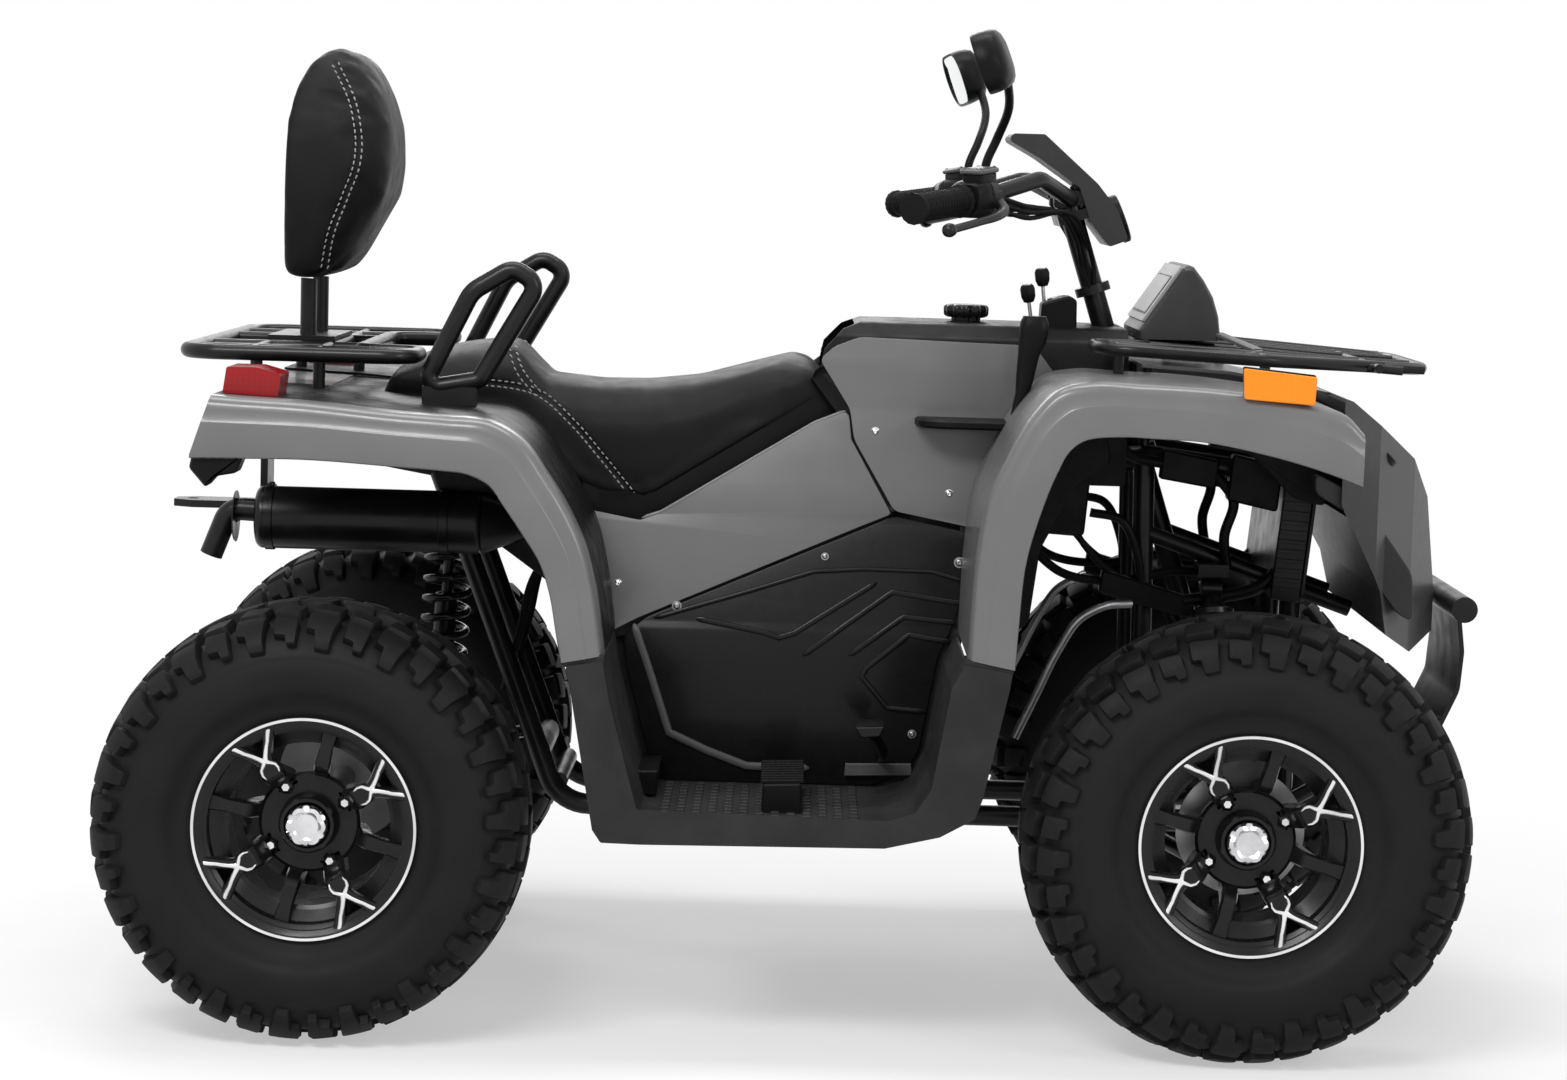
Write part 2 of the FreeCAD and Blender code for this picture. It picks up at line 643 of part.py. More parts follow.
def steering_column():
    """Column with its handlebar clamp, stop collar and pitman arm."""
    rake = math.radians(named("column_rake"))
    foot = -(named("column_z") - named("tie_rod_z") + 8) / math.cos(rake)
    head = (named("bar_z") - named("column_z")) / math.cos(rake)
    column = rod("column_tube", on_column(foot - 12), on_column(head - 16), named("column_radius"))
    collar = rod("column_collar", on_column(10), on_column(22), Size(24))
    plate = feature("column_plate", oriented_block(on_column(head - 24), 46, 120, 14))
    risers = [rod(f"column_riser_{i}", on_column(head - 20, 0, s * 42), on_column(head - 11, 0, s * 42), Size(16))
              for i, s in enumerate((-1, 1))]
    arm = feature("pitman_plate", oriented_block(on_column(foot, -named("pitman_arm") / 2), named("pitman_arm") + 26, 34, 9))
    foot_plate = feature("pitman_cross", oriented_block(on_column(foot, -named("pitman_arm")), 26, 74, 9))
    return fused("steering_column", column, collar, plate, *risers, arm, foot_plate)


def oriented_block(middle, length, width, height):
    """A block square to the steering column: length across it fore and aft, height along it."""
    made = Part.makeBox(length, width, height, Vector(-length / 2, -width / 2, -height / 2))
    made.Placement = Placement(middle, Rotation(Vector(0, 1, 0), -float(named("column_rake"))))
    return made


def bar_points():
    """Corners of the right half of the handlebar, from the middle to the end of the grip."""
    head = (named("bar_z") - named("column_z")) / math.cos(math.radians(named("column_rake")))
    middle = on_column(head)
    end = Vector(named("grip_end_x"), -named("grip_end_y"), named("grip_end_z"))
    return [middle, middle + Vector(0, -74, 0), middle + Vector(-48, -165, 26),
            end + Vector(92, 150, 16), end]


def bar_route():
    """Corners of the whole handlebar, from its right end to its left end."""
    right = bar_points()
    return [tuple(p) for p in right[:0:-1]] + [(p.x, -p.y, p.z) for p in right[1:]]


def handlebar():
    """One bent tube from grip to grip."""
    return feature("handlebar", tube(bar_route(), named("bar_tube"), 38))


def bar_clearance():
    """The room that the handlebar takes, with a running gap round it."""
    return tube(bar_route(), named("bar_tube") + 2 * named("running_gap"), 38)


def grip_frame():
    """End of the right grip and the direction from it along the bar."""
    end = Vector(named("grip_end_x"), -named("grip_end_y"), named("grip_end_z"))
    along = (bar_points()[3] - end).normalize()
    return end, along


def grips():
    """Rubber grips, each with an end flange, bored for the bar."""
    end, along = grip_frame()
    outside = Part.makeCylinder(named("grip_radius"), named("grip_length"), end - along * 3, along)
    flange = Part.makeCylinder(named("grip_radius") + 3, 8, end - along * 3, along)
    inner_flange = Part.makeCylinder(named("grip_radius") + 5, 6, end + along * (named("grip_length") - 9), along)
    bore = Part.makeCylinder(named("bar_tube") / 2, named("grip_length") + 20, end, along)
    made = outside.fuse([flange, inner_flange]).cut(bore)
    return both_sides("grips", feature("grip_right", made))


def brake_levers():
    """Lever perches with switch housings and bent levers, one on each side."""
    end, along = grip_frame()
    start = end + along * (named("grip_length") + 2)
    perch = Part.makeCylinder(named("grip_radius") + 6, 46, start, along)
    bore = Part.makeCylinder(named("bar_tube") / 2, 60, start - along * 5, along)
    ahead = Vector(0, 0, 1).cross(along).normalize()
    ahead = ahead if ahead.x > 0 else -ahead
    drop = Vector(0, 0, -1)
    foot = start + along * 24 + ahead * 16
    knee = foot + ahead * 26 + drop * 14
    tip = end + ahead * 52 + drop * 26
    lever = tube([tuple(foot), tuple(knee), tuple(tip)], 13, 14)
    ball = Part.makeSphere(9, tip)
    reservoir = Part.makeBox(48, 34, 24, start + along * 20 + Vector(-14, -17, 17))
    made = perch.fuse([lever, ball, reservoir]).cut(bore)
    return both_sides("brake_levers", feature("brake_lever_right", made))


def mirror_head(name, depth_from, depth_to, shrink):
    """A mirror head's outline as a slab, placed and turned for the right-hand side."""
    w, h = named("mirror_width") / 2 - shrink, named("mirror_height") / 2 - shrink
    outline = [(depth_from, -w, h * 0.55), (depth_from, -w * 0.62, h), (depth_from, w * 0.8, h * 0.86),
               (depth_from, w, h * 0.1), (depth_from, w * 0.72, -h), (depth_from, -w * 0.7, -h * 0.92)]
    face = Part.Face(rounded(outline, 14, closed=True))
    made = face.extrude(Vector(depth_to - depth_from, 0, 0))
    made.Placement = Placement(
        Vector(named("mirror_x"), -named("mirror_y"), named("mirror_z")),
        Rotation(Vector(0, 0, 1), -28).multiply(Rotation(Vector(0, 1, 0), -14)),
    )
    return made


def mirrors():
    """Mirror shells with their stems; the glass is a piece of its own in each shell's mouth."""
    thick = named("mirror_depth")
    shell = mirror_head("shell", -thick / 2, thick / 2, 0)
    pocket = mirror_head("pocket", -thick / 2 - 1, -thick / 2 + 4, 5)
    perch = grip_frame()[0] + grip_frame()[1] * (named("grip_length") + 60)
    head = Vector(named("mirror_x"), -named("mirror_y"), named("mirror_z"))
    neck = head + Vector(26, 14, -40)
    stem = tube([tuple(neck + Vector(-14, -8, 30)), tuple(neck), tuple(perch + Vector(26, 6, 60)),
                 tuple(perch + Vector(4, 0, 11))], 10, 20)
    foot = Part.makeCylinder(10, 22, perch + Vector(0, 0, 6), Vector(0, 0, 1))
    made = shell.fuse([stem, foot]).cut([pocket, bar_clearance()])
    return both_sides("mirrors", feature("mirror_right", made))


def mirror_glass():
    """Mirror glasses, seated in the mouths of the shells."""
    thick = named("mirror_depth")
    return both_sides("mirror_glass", feature("glass_right", mirror_head("glass", -thick / 2 + 1, -thick / 2 + 4, 5)))


def tie_rod():
    """Right tie rod, from the steering arm's ball to beside the pitman arm's."""
    x = front_axle_x - named("steer_arm")
    y = -named("kingpin_y") + 6
    z = named("tie_rod_z")
    rake = math.radians(named("column_rake"))
    inner = on_column(-(named("column_z") - named("tie_rod_z") + 8) / math.cos(rake), -named("pitman_arm"))
    end = (inner.x, -26, z)
    shaft = tube([(x, y, z), end], 14, 0)
    outer_eye = Part.makeCylinder(14, 16, Vector(x, y, z - 8))
    inner_eye = Part.makeCylinder(12, 14, Vector(end[0], end[1], z - 7))
    hole = Part.makeCylinder(6 + named("running_gap"), 40, Vector(x, y, z - 20))
    return feature("tie_rod_right", shaft.fuse([outer_eye, inner_eye]).cut(hole))


# frame, engine and rear suspension


def panel_stays():
    """Stays that carry the footwells, arches, side panels, covers, seat and nose."""
    side, low = named("frame_y"), named("lower_rail_z")
    floor = named("floor_z") - named("panel") - 10 - named("running_gap")
    cover = named("waist_y") - named("panel") - named("running_gap")
    side_panel = named("waist_y") + 20 - named("panel") - named("running_gap")
    stays = []
    for s in (-1, 1):
        for x in (-130, 70):
            stays.append(tube([(x, s * 100, low), (x, s * 152, low), (x, s * 204, floor), (x, s * 484, floor)], 20, 30))
        stays.append(tube([(200, s * 100, 711), (200, s * cover, 711)], 10, 0))
        stays.append(tube([(0, s * 100, 680), (0, s * side_panel, 680)], 12, 0))
        stays.append(tube([(-215, s * 100, 612), (-215, s * side_panel, 612)], 14, 0))
        stays.append(tube([(452, s * side, 740), (452, s * side, 862.4)], 12, 0))
        stays.append(tube([(452, s * side, 770), (452, s * 186, 790), (452, s * 186, 853)], 12, 14))
        stays.append(tube([(-700, s * 100, 738), (-700, s * 190, 762), (-700, s * 190, 805)], 12, 14))
        stays.append(tube([(-500, s * side, 700), (-500, s * side, 773.4)], 16, 0))
        stays.append(tube([(-60, s * side, 665), (-60, s * side, 740)], 16, 0))
        stays.append(tube([(655, s * 88, 700), (700, s * 88, 690), (823, s * 88, 690)], 12, 20))
    return stays


def frame():
    """Two sides of bent tube, joined by cross tubes, with the bearing of the steering column."""
    side, size = named("frame_y"), named("frame_tube")
    low, top = named("lower_rail_z"), named("front_post_top")
    front, nose = named("front_post_x"), named("nose_post_x")
    tubes = []
    for y in (-side, side):
        tubes.append(tube([(-492, y, 700), (-322, y, low), (nose, y, low), (nose, y, 731)], size, 60))
        tubes.append(tube([(front, y, low), (front - 10, y, top)], size, 0))
        tubes.append(tube([(nose, y, 720), (front - 10, y, top - 7), (60, y, 690), (-215, y, 612),
                           (-480, y, named("seat_rail_z")), (-745, y, 744)], size, 50))
        tubes.append(tube([(front - 2, y, 640), (735, y, 546)], size - 6, 0))
    for x, z in ((nose, 700), (front, low), (410, 736), (-322, low + 30), (-215, 612), (-720, 740), (-480, 694)):
        tubes.append(tube([(x, -side, z), (x, side, z)], size - 4, 0))
    along = on_column(1) - on_column(0)
    start = on_column(-236)
    bearing = Part.makeCylinder(25, 30, start, along)
    web = Part.makeBox(44, 30, 16, Vector(406, -15, 728))
    ledges = [Part.makeBox(40, 56, 16, Vector(front_axle_x - 42, min(s * 104, s * 160), 588.6)) for s in (-1, 1)]
    ledges += panel_stays()
    bore = Part.makeCylinder(named("column_radius") + named("running_gap"), 80, start - along * 20, along)
    made = tubes[0].fuse(tubes[1:])
    for piece in [web, bearing] + ledges:
        made = made.fuse(piece)
    return feature("frame", made.cut(bore))


def engine():
    """Engine and gearbox as one plain block with its cylinder, standing on the lower rails."""
    bottom = named("lower_rail_z") + named("frame_tube") / 2 + 0.3
    half = named("engine_half")
    case = box("engine_case", (-205, -half, bottom), (165, half, bottom + 190))
    cylinder = box("engine_cylinder", (-40, -72, bottom + 180), (130, 72, 590))
    return fused("engine", case, cylinder)


def swingarm():
    """Swingarm: pivot tube, two arms and the carrier the axle turns in."""
    px, pz = named("swing_pivot_x") - 30, named("swing_pivot_z")
    x, z = rear_axle_x, rear_axle_z
    half = named("carrier_half")
    reach = named("frame_y") - named("frame_tube") / 2 - named("running_gap")
    pivot = Part.makeCylinder(20, 2 * reach, Vector(px, -reach, pz), Vector(0, 1, 0))
    arms = [tube([(px, s * 58, pz), (x, s * 58, z)], 34, 0) for s in (-1, 1)]
    carrier = Part.makeCylinder(named("carrier_radius"), 2 * half, Vector(x, -half, z), Vector(0, 1, 0))
    ears = [Part.makeBox(44, 10, 66, Vector(-520, s * 26 - 5, z + 8)) for s in (-1, 1)]
    bridge = tube([(-498, -58, z + 8), (-498, 58, z + 8)], 30, 0)
    bore = Part.makeCylinder(named("axle_radius") + named("running_gap"), 400, Vector(x, -200, z), Vector(0, 1, 0))
    made = pivot.fuse(arms + [carrier, bridge] + ears).cut(bore)
    return feature("swingarm", made.removeSplitter())


def rear_shock():
    """The single rear damper and spring, from the swingarm to the rear cross tube."""
    top = 694 - (named("frame_tube") - 4) / 2 - 14 - named("running_gap")
    return shock("rear_shock", (-498, 0, rear_axle_z + 58), (-480, 0, top), named("spring_radius") + 6,
                 named("spring_wire") + 2, 8, 41.4)


def front_shocks():
    """Front dampers and springs, standing on the lower wishbones."""
    right = shock("front_shock_right", (front_axle_x, -234, 251.2), (front_axle_x - 22, -140, 570.6),
                  named("spring_radius"), named("spring_wire"), 9, 28)
    return both_sides("front_shocks", right)


def muffler():
    """Muffler with its curved tail pipe and the pipe that leads forward to the engine."""
    y, z, r = -named("muffler_y"), named("muffler_z"), named("muffler_radius")
    can = Part.makeCylinder(r, 300, Vector(-722, y, z), Vector(1, 0, 0))
    can = can.makeFillet(10, [e for e in can.Edges if e.Length > 200])
    cone = Part.makeCone(r, 18, 60, Vector(-424, y, z), Vector(1, 0, 0))
    pipe = tube([(-374, y, z), (-320, -152, 606), (-230, -142, 520), (-30, -146, 500), (70, -50, 500)], 32, 34)
    tail = tube([(-715, y, z + 8), (-758, y, z + 10), (-782, y, z - 52)], 30, 24)
    bore = Part.makeCylinder(11, 40, Vector(-782, y, z - 53), Vector(-758 + 782, 0, 62))
    made = can.fuse([cone, pipe, tail]).cut([bore, doc.getObject("engine").Shape])
    return feature("muffler", max(made.Solids, key=lambda s: s.Volume))


# moulded body


def band(outer, inner, radii):
    """The side skin of an arch, between its outer and inner edge lines."""
    points = list(outer) + list(inner)[::-1]
    return slab(points, radii, -float(flare), -float(flare) + float(panel))


FRONT_ARCH = (
    (206, 512), (211, 637), (220, 711), (238, 749), (284, 831), (308, 852), (339, 860), (480, 857), (623, 841),
    (673, 824), (683, 812), (686, 741),
)
FRONT_ARCH_INNER = (
    (265, 501), (270, 607), (278, 663), (311, 764), (335, 789), (384, 794), (483, 791), (582, 774), (645, 755),
)
REAR_ARCH = (
    (-763, 738), (-737, 811), (-628, 806), (-504, 796), (-393, 788), (-355, 763), (-324, 726), (-275, 641),
    (-265, 598), (-253, 523), (-249, 504),
)
REAR_ARCH_INNER = (
    (-627, 740), (-478, 732), (-417, 728), (-395, 722), (-379, 700), (-318, 609), (-311, 584), (-296, 495),
)
REAR_POST = ((-293, 490), (-247, 498), (-238, 450), (-200, 312))
FRONT_POST = ((112, 307), (146, 317), (166, 349), (187, 475), (203, 506), (262, 497), (259, 477), (230, 338),
              (221, 313), (178, 289), (110, 273))
RAIL = ((-195, 269), (-244, 270), (-255, 286), (-284, 448))


def front_fender():
    """Front arches with their decks, one on each side."""
    inner = float(named("waist_y")) + 6
    deck = strip(FRONT_ARCH, [0, 20, 20, 30, 20, 24, 12, 60, 40, 10, 5, 0], float(panel), -float(flare), -inner)
    skin = band(FRONT_ARCH, FRONT_ARCH_INNER, 3)
    notch = Part.makeBox(60, 400, 300, Vector(640, -320, 600))
    made = deck.fuse(skin).cut(notch)
    return both_sides("front_fender", feature("front_fender_right", made))


def rear_fender():
    """Rear arches with their decks and the panel that joins them behind the seat."""
    inner = float(named("waist_y")) + 24
    deck = strip(REAR_ARCH, [0, 10, 60, 60, 20, 24, 24, 20, 10, 10, 0], float(panel), -float(flare), -inner)
    skin = band(REAR_ARCH, REAR_ARCH_INNER, 3)
    right = deck.fuse(skin)
    left = right.mirror(Vector(0, 0, 0), Vector(0, 1, 0))
    tail = strip([(-763, 738), (-737, 811), (-640, 806)], [0, 10, 0], float(panel), -inner - 1, inner + 1)
    return feature("rear_fender", right.fuse([left, tail]).removeSplitter())


def footwells():
    """Footwells: floor, walls up to the arches, outer rail and posts, one on each side."""
    inner = float(named("body_y")) - 12
    walls = strip([REAR_POST[1], REAR_POST[2], REAR_POST[3], (-197, 300), (108, 300), (146, 312),
                   FRONT_POST[2], FRONT_POST[3], FRONT_POST[4]],
                  [0, 10, 0, 8, 10, 20, 20, 10, 0], float(panel), -float(flare), -inner)
    skin = slab(REAR_POST + FRONT_POST + RAIL, 4, -float(flare), -float(flare) + 6)
    return both_sides("footwells", feature("footwell_right", walls.fuse(skin)))


def side_covers():
    """Dark covers of the engine bay, inside the footwells."""
    y = -float(named("body_y"))
    floor = float(named("floor_z")) + 0.3
    outline = ((-189, floor), (98, floor), (140, 317), (160, 350), (181, 476), (196, 510), (202, 606), (125, 636),
               (60, 588), (-189, 513), (-238, 488), (-230, 450))
    return both_sides("side_covers", feature("side_cover_right", slab(outline, 6, y, y + float(panel))))


def side_panels():
    """Painted panels between the seat and the dark covers."""
    y = -float(named("waist_y")) - 20
    outline = ((-296, 652), (-206, 640), (-36, 748), (40, 796), (66, 790), (84, 735), (124, 646), (60, 598),
               (-189, 524), (-236, 496))
    return both_sides("side_panels", feature("side_panel_right", slab(outline, 6, y, y + float(panel))))


def tank_cover():
    """Cover over the tank: a crowned saddle, open underneath, holed for the column and filler."""
    half, waist, top = named("tank_half"), named("waist_y"), named("tank_top_z")
    outer = [(0, -waist, 700), (0, -waist, 812), (0, -half, top - 20), (0, -half * 0.75, top), (0, half * 0.75, top),
             (0, half, top - 20), (0, waist, 812), (0, waist, 700)]
    inner = [(0, waist - panel, 700), (0, waist - panel, 811), (0, half - panel, top - 22),
             (0, half * 0.75 - 2, top - panel), (0, 2 - half * 0.75, top - panel), (0, panel - half, top - 22),
             (0, panel - waist, 811), (0, panel - waist, 700)]
    ring = Part.Face(rounded(outer + inner, [0, 20, 20, 30, 30, 20, 20, 0, 0, 16, 16, 26, 26, 16, 16, 0], True))
    made = ring.extrude(Vector(412, 0, 0))
    made.translate(Vector(12, 0, 0))
    side = slab(((14, 846), (20, 876), (44, 902), (74, 914), (424, 914), (424, 705), (230, 705), (104, 705),
                 (66, 798)), 6, -200, 200)
    made = made.common(side)
    along = on_column(1) - on_column(0)
    hole = Part.makeCylinder(24, 220, on_column(-160), along)
    neck = Part.makeCylinder(26.3, 60, Vector(212, 0, 880))
    return feature("tank_cover", made.cut([hole, neck]))


def fuel_cap():
    """Filler neck with its cap."""
    neck = rod("filler_neck", (212, 0, 872), (212, 0, 920), Size(26))
    cap = rod("filler_cap", (212, 0, named("tank_top_z") + 0.3), (212, 0, 936), Size(34))
    return fused("fuel_cap", neck, cap)


def seat():
    """The long seat, the passenger's part raised."""
    half = float(named("seat_half"))
    outline = ((-567, 785), (-560, 826), (-505, 850), (-436, 861), (-402, 865), (-381, 849), (-363, 818),
               (-284, 811), (-216, 809), (-121, 820), (-53, 838), (-4, 856), (9, 850), (33, 812), (31, 803), (-36, 761),
               (-206, 652), (-272, 661), (-312, 680), (-360, 732), (-420, 763))
    return feature("seat", slab(outline, 8, -half, half))


def backrest():
    """Passenger's backrest pad."""
    outline = ((-721, 950), (-713, 1118), (-701, 1199), (-672, 1261), (-641, 1266), (-606, 1222), (-574, 1122),
               (-579, 1068), (-603, 1033), (-629, 958), (-663, 946))
    half = float(named("pad_half"))
    return feature("backrest", slab(outline, 16, -half, half))


def backrest_posts():
    """Two posts of the backrest, with a foot plate that stands on the rear rack."""
    z = named("rear_rack_z") + (named("rack_tube") - 6) / 2 + 0.3
    pad = named("pad_bottom_z")
    plate = box("post_plate", (-726, -96, z), (-636, 96, z + 6))
    posts = [rod(f"post_{i}", (-676, s * 62, z + 3), (-676, s * 62, pad + 8), Size(11)) for i, s in enumerate((-1, 1))]
    made = fused("posts_plain", plate, *posts)
    return cut("backrest_posts", made, feature("post_trim", backrest_shape().copy()))


def backrest_shape():
    return doc.getObject("backrest").Shape


# racks and bars


def height_on(line, x):
    """Height of an arch's outer line at an X."""
    for (x0, z0), (x1, z1) in zip(line, line[1:]):
        if min(x0, x1) <= x <= max(x0, x1) and x0 != x1:
            return z0 + (z1 - z0) * (x - x0) / (x1 - x0)
    raise ValueError(f"{x} is off the line")


def rear_rack():
    """Rear rack: an outer loop, three runners and two cross tubes, with legs to the frame."""
    z, half, size = named("rear_rack_z"), named("rear_rack_half"), named("rack_tube")
    back, front = named("rear_rack_end") + size / 2, named("rear_rack_front")
    edge, notch = half - size / 2, front - 82
    loop = rounded([(back, -edge, z), (front, -edge, z), (front, -204, z), (notch, -186, z), (notch, 186, z),
                    (front, 204, z), (front, edge, z), (back, edge, z)], [50, 40, 24, 30, 30, 24, 40, 50], True)
    first = loop.Edges[0].valueAt(loop.Edges[0].FirstParameter)
    ring = Part.Wire(Part.Circle(first, loop.Edges[0].tangentAt(loop.Edges[0].FirstParameter), size / 2).toShape())
    pieces = [loop.makePipeShell([ring], True, False)]
    for y in (-220, -110, 110, 220):
        pieces.append(tube([(back, y, z), (front if abs(y) > 200 else notch, y, z)], size - 6, 0))
    for x in (-722, -640):
        pieces.append(tube([(x, -edge, z), (x, edge, z)], size - 6, 0))
    for x in (-722, -640):
        for y in (-220, 220):
            pieces.append(tube([(x, y, z), (x, y, height_on(REAR_ARCH, x) + 0.6)], size - 4, 0))
    return feature("rear_rack", pieces[0].fuse(pieces[1:]))


def grab_handles():
    """Passenger's grab handles: long closed loops rising from the front corners of the rear rack."""
    y, size = -named("handle_y"), named("handle_tube")
    loop = rounded([(-500, y, 812), (-437, y, 940), (-385, y, 972), (-352, y, 952), (-425, y, 826)],
                   [14, 40, 20, 18, 14], True)
    first = loop.Edges[0].valueAt(loop.Edges[0].FirstParameter)
    ring = Part.Wire(Part.Circle(first, loop.Edges[0].tangentAt(loop.Edges[0].FirstParameter), size / 2).toShape())
    made = loop.makePipeShell([ring], True, False)
    made.translate(Vector(0, 0, 3))
    foot = Part.makeBox(70, 22, 24, Vector(-498, y - 11, height_on(REAR_ARCH, -498) + 0.4))
    return both_sides("grab_handles", feature("grab_handle_right", made.fuse(foot)))


def front_rack():
    """Front rack: outer loop dipping to the nose, runners, cross tubes and legs."""
    z, half, size = named("front_rack_z"), named("front_rack_half"), named("front_rack_tube")
    nose, back, mid = named("front_rack_nose"), 372, 590
    cross = 446
    loop = rounded([(back, -half, z + 10), (mid, -half, z), (nose, -150, z - 12), (nose, 150, z - 12), (mid, half, z),
                    (back, half, z + 10), (back, 174, z + 10), (cross, 162, z + 8), (cross, -162, z + 8),
                    (back, -174, z + 10)], [50, 80, 80, 80, 80, 50, 24, 30, 30, 24], True)
    first = loop.Edges[0].valueAt(loop.Edges[0].FirstParameter)
    ring = Part.Wire(Part.Circle(first, loop.Edges[0].tangentAt(loop.Edges[0].FirstParameter), size / 2).toShape())
    pieces = [loop.makePipeShell([ring], True, False)]
    for y in (-210, -140, 140, 210):
        end = nose - 4 if abs(y) < 150 else nose - 40
        start = back if abs(y) > 200 else cross
        pieces.append(tube([(start, y, z + 9), (mid, y, z), (end, y, z - 12)], size - 4, 100))
    for x, rise in ((mid, 0), (740, -9)):
        pieces.append(tube([(x, -half + (60 if x > 700 else 4), z + rise), (x, half - (60 if x > 700 else 4), z + rise)],
                           size - 4, 0))
    for x in (400, mid):
        for y in (-250, 250):
            pieces.append(tube([(x, y, z), (x, y, height_on(FRONT_ARCH, x) + 0.6)], size - 2, 0))
        pieces.append(tube([(x, -half, z + (9 if x < 500 else 0)), (x, -205, z + (9 if x < 500 else 0))], size - 4, 0))
        pieces.append(tube([(x, 205, z + (9 if x < 500 else 0)), (x, half, z + (9 if x < 500 else 0))], size - 4, 0))
    return feature("front_rack", pieces[0].fuse(pieces[1:]))


def storage_pod():
    """Scoop-shaped pod on the front rack, behind it a slanted lid panel."""
    base = named("front_rack_z") + 8 + named("front_rack_tube") / 2 + 0.3
    outline = ((495, 1000), (508, 1000), (532, 968), (547, 926), (540, base), (440, base), (434, base + 12))
    return feature("storage_pod", slab(outline, 5, -118, 118))


def front_bumper():
    """Front bumper: cross tube with end caps, curved guard plate and two brackets."""
    z, half, size = named("bumper_tube_z"), named("bumper_half"), named("bumper_tube")
    x = named("bumper_front") - 22
    cross = tube([(x, -half, z), (x, half, z)], size, 0)
    guard = strip([(864, 578), (882, 556), (890, 493), (886, 440), (856, 372)], [0, 20, 40, 40, 0], 6, -120, 120)
    brackets = [tube([(878, s * 106, 470), (655, s * 106, 448)], 22, 0) for s in (-1, 1)]
    lower = [tube([(864, s * 90, 396), (655, s * 106, 276)], 20, 0) for s in (-1, 1)]
    frame_tool = doc.getObject("frame").Shape
    made = cross.fuse([guard] + brackets + lower).cut(frame_tool)
    return feature("front_bumper", max(made.Solids, key=lambda s: s.Volume))


def nose():
    """Faceted nose shell between the arches, with the grille face in front."""

    def block(inset, back):
        plan = [(back, -300 + inset), (738, -292 + inset), (800 - inset, -196 + inset), (847 - inset, -104 + inset),
                (847 - inset, 104 - inset), (800 - inset, 196 - inset), (738, 292 - inset), (back, 300 - inset)]
        tall = Part.Face(Part.makePolygon([Vector(a, b, 480) for a, b in plan + plan[:1]])).extrude(Vector(0, 0, 400))
        profile = [(back, 838 - inset), (700, 835 - inset), (798 - inset, 757 - inset), (827 - inset, 703 - inset / 2),
                   (847 - inset, 576), (847 - inset, 520), (804 - inset, 500), (760 + inset, 530), (748, 588 + inset),
                   (back, 702 + inset)]
        side = Part.Face(Part.makePolygon([Vector(a, -400, b) for a, b in profile + profile[:1]]))
        return tall.common(side.extrude(Vector(0, 800, 0)))

    made = block(0, 689.5).cut(block(float(panel), 687))
    return feature("nose", max(made.Solids, key=lambda s: s.Volume))


def headlamps():
    """Lamp units in the outer corners of the nose."""
    outline = ((709, 792), (735, 775), (762, 758), (762, 745), (745, 738), (712, 764))
    made = slab(outline, 4, -282, -212)
    shell = doc.getObject("nose").Shape
    solids = made.cut(shell).Solids
    return both_sides("headlamps", feature("headlamp_right", max(solids, key=lambda s: s.Volume)))


def lamp_block(name, low, high, radius):
    """A small lamp or reflector with rounded edges along Y."""
    x0, y0, z0 = low
    x1, y1, z1 = high
    return both_sides(name, feature(f"{name}_right", slab(((x0, z0), (x1, z0), (x1, z1), (x0, z1)), radius, y0, y1)))


def rear_lamps():
    """Rear lamps, standing on the rear corners of the deck under the rack."""
    outline = ((-733, 811.6), (-664, 808.1), (-660, 838), (-690, 846), (-728, 846))
    return both_sides("rear_lamps", feature("rear_lamp_right", slab(outline, 3, -434, -356)))


def hood():
    """Cover between the front arches, from the column to the nose."""
    half = float(named("waist_y")) + 2
    line = ((440, 868), (560, 862), (689, 838))
    return feature("hood", strip(line, [0, 60, 0], float(panel), -half, half))


def gear_lever():
    """Gear lever with its gate plate, on the front fender's rear deck."""
    x, y = named("lever_x"), -named("lever_y")
    rodded = tube([(x - 4, y, 792), (x + 24, y, 856), (x + 26, y, 905)], 10, 20)
    knob = Part.makeSphere(17, Vector(x + 26, y, 914))
    made = rodded.fuse([knob]).cut(doc.getObject("front_fender").Shape)
    return feature("gear_lever", max(made.Solids, key=lambda s: s.Volume))


def bar_lamp():
    """Lamp pod with a visor in front of the handlebar."""
    outline = ((256, 1160), (266, 1168), (307, 1168), (380, 1104), (408, 1070), (424, 1030), (398, 1020), (372, 1052),
               (356, 1098), (300, 1136))
    made = slab(outline, 6, -66, 66)
    made = made.cut([bar_clearance(), doc.getObject("steering_column").Shape])
    return feature("bar_lamp", max(made.Solids, key=lambda s: s.Volume))


def tow_plate():
    """Tow plate behind the frame, drilled for a pin."""
    front = -720 - (named("frame_tube") - 4) / 2 - 0.3
    outline = [(front, -30), (-836, -30), (-862, -16), (-862, 16), (-836, 30), (front, 30)]
    face = Part.Face(Part.makePolygon([Vector(a, b, 630) for a, b in outline + outline[:1]]))
    plate = face.extrude(Vector(0, 0, named("tow_plate_thickness")))
    riser = Part.makeBox(10, 60, 120, Vector(front - 10, -30, 630))
    hole = Part.makeCylinder(named("tow_hole_radius"), 30, Vector(-838, 0, 620))
    return feature("tow_plate", plate.fuse(riser).cut(hole))


def hand_in(item, name):
    """Names a piece and keeps its file name with it."""
    item.Label = name
    PARTS.append((name, item))


PARTS = []


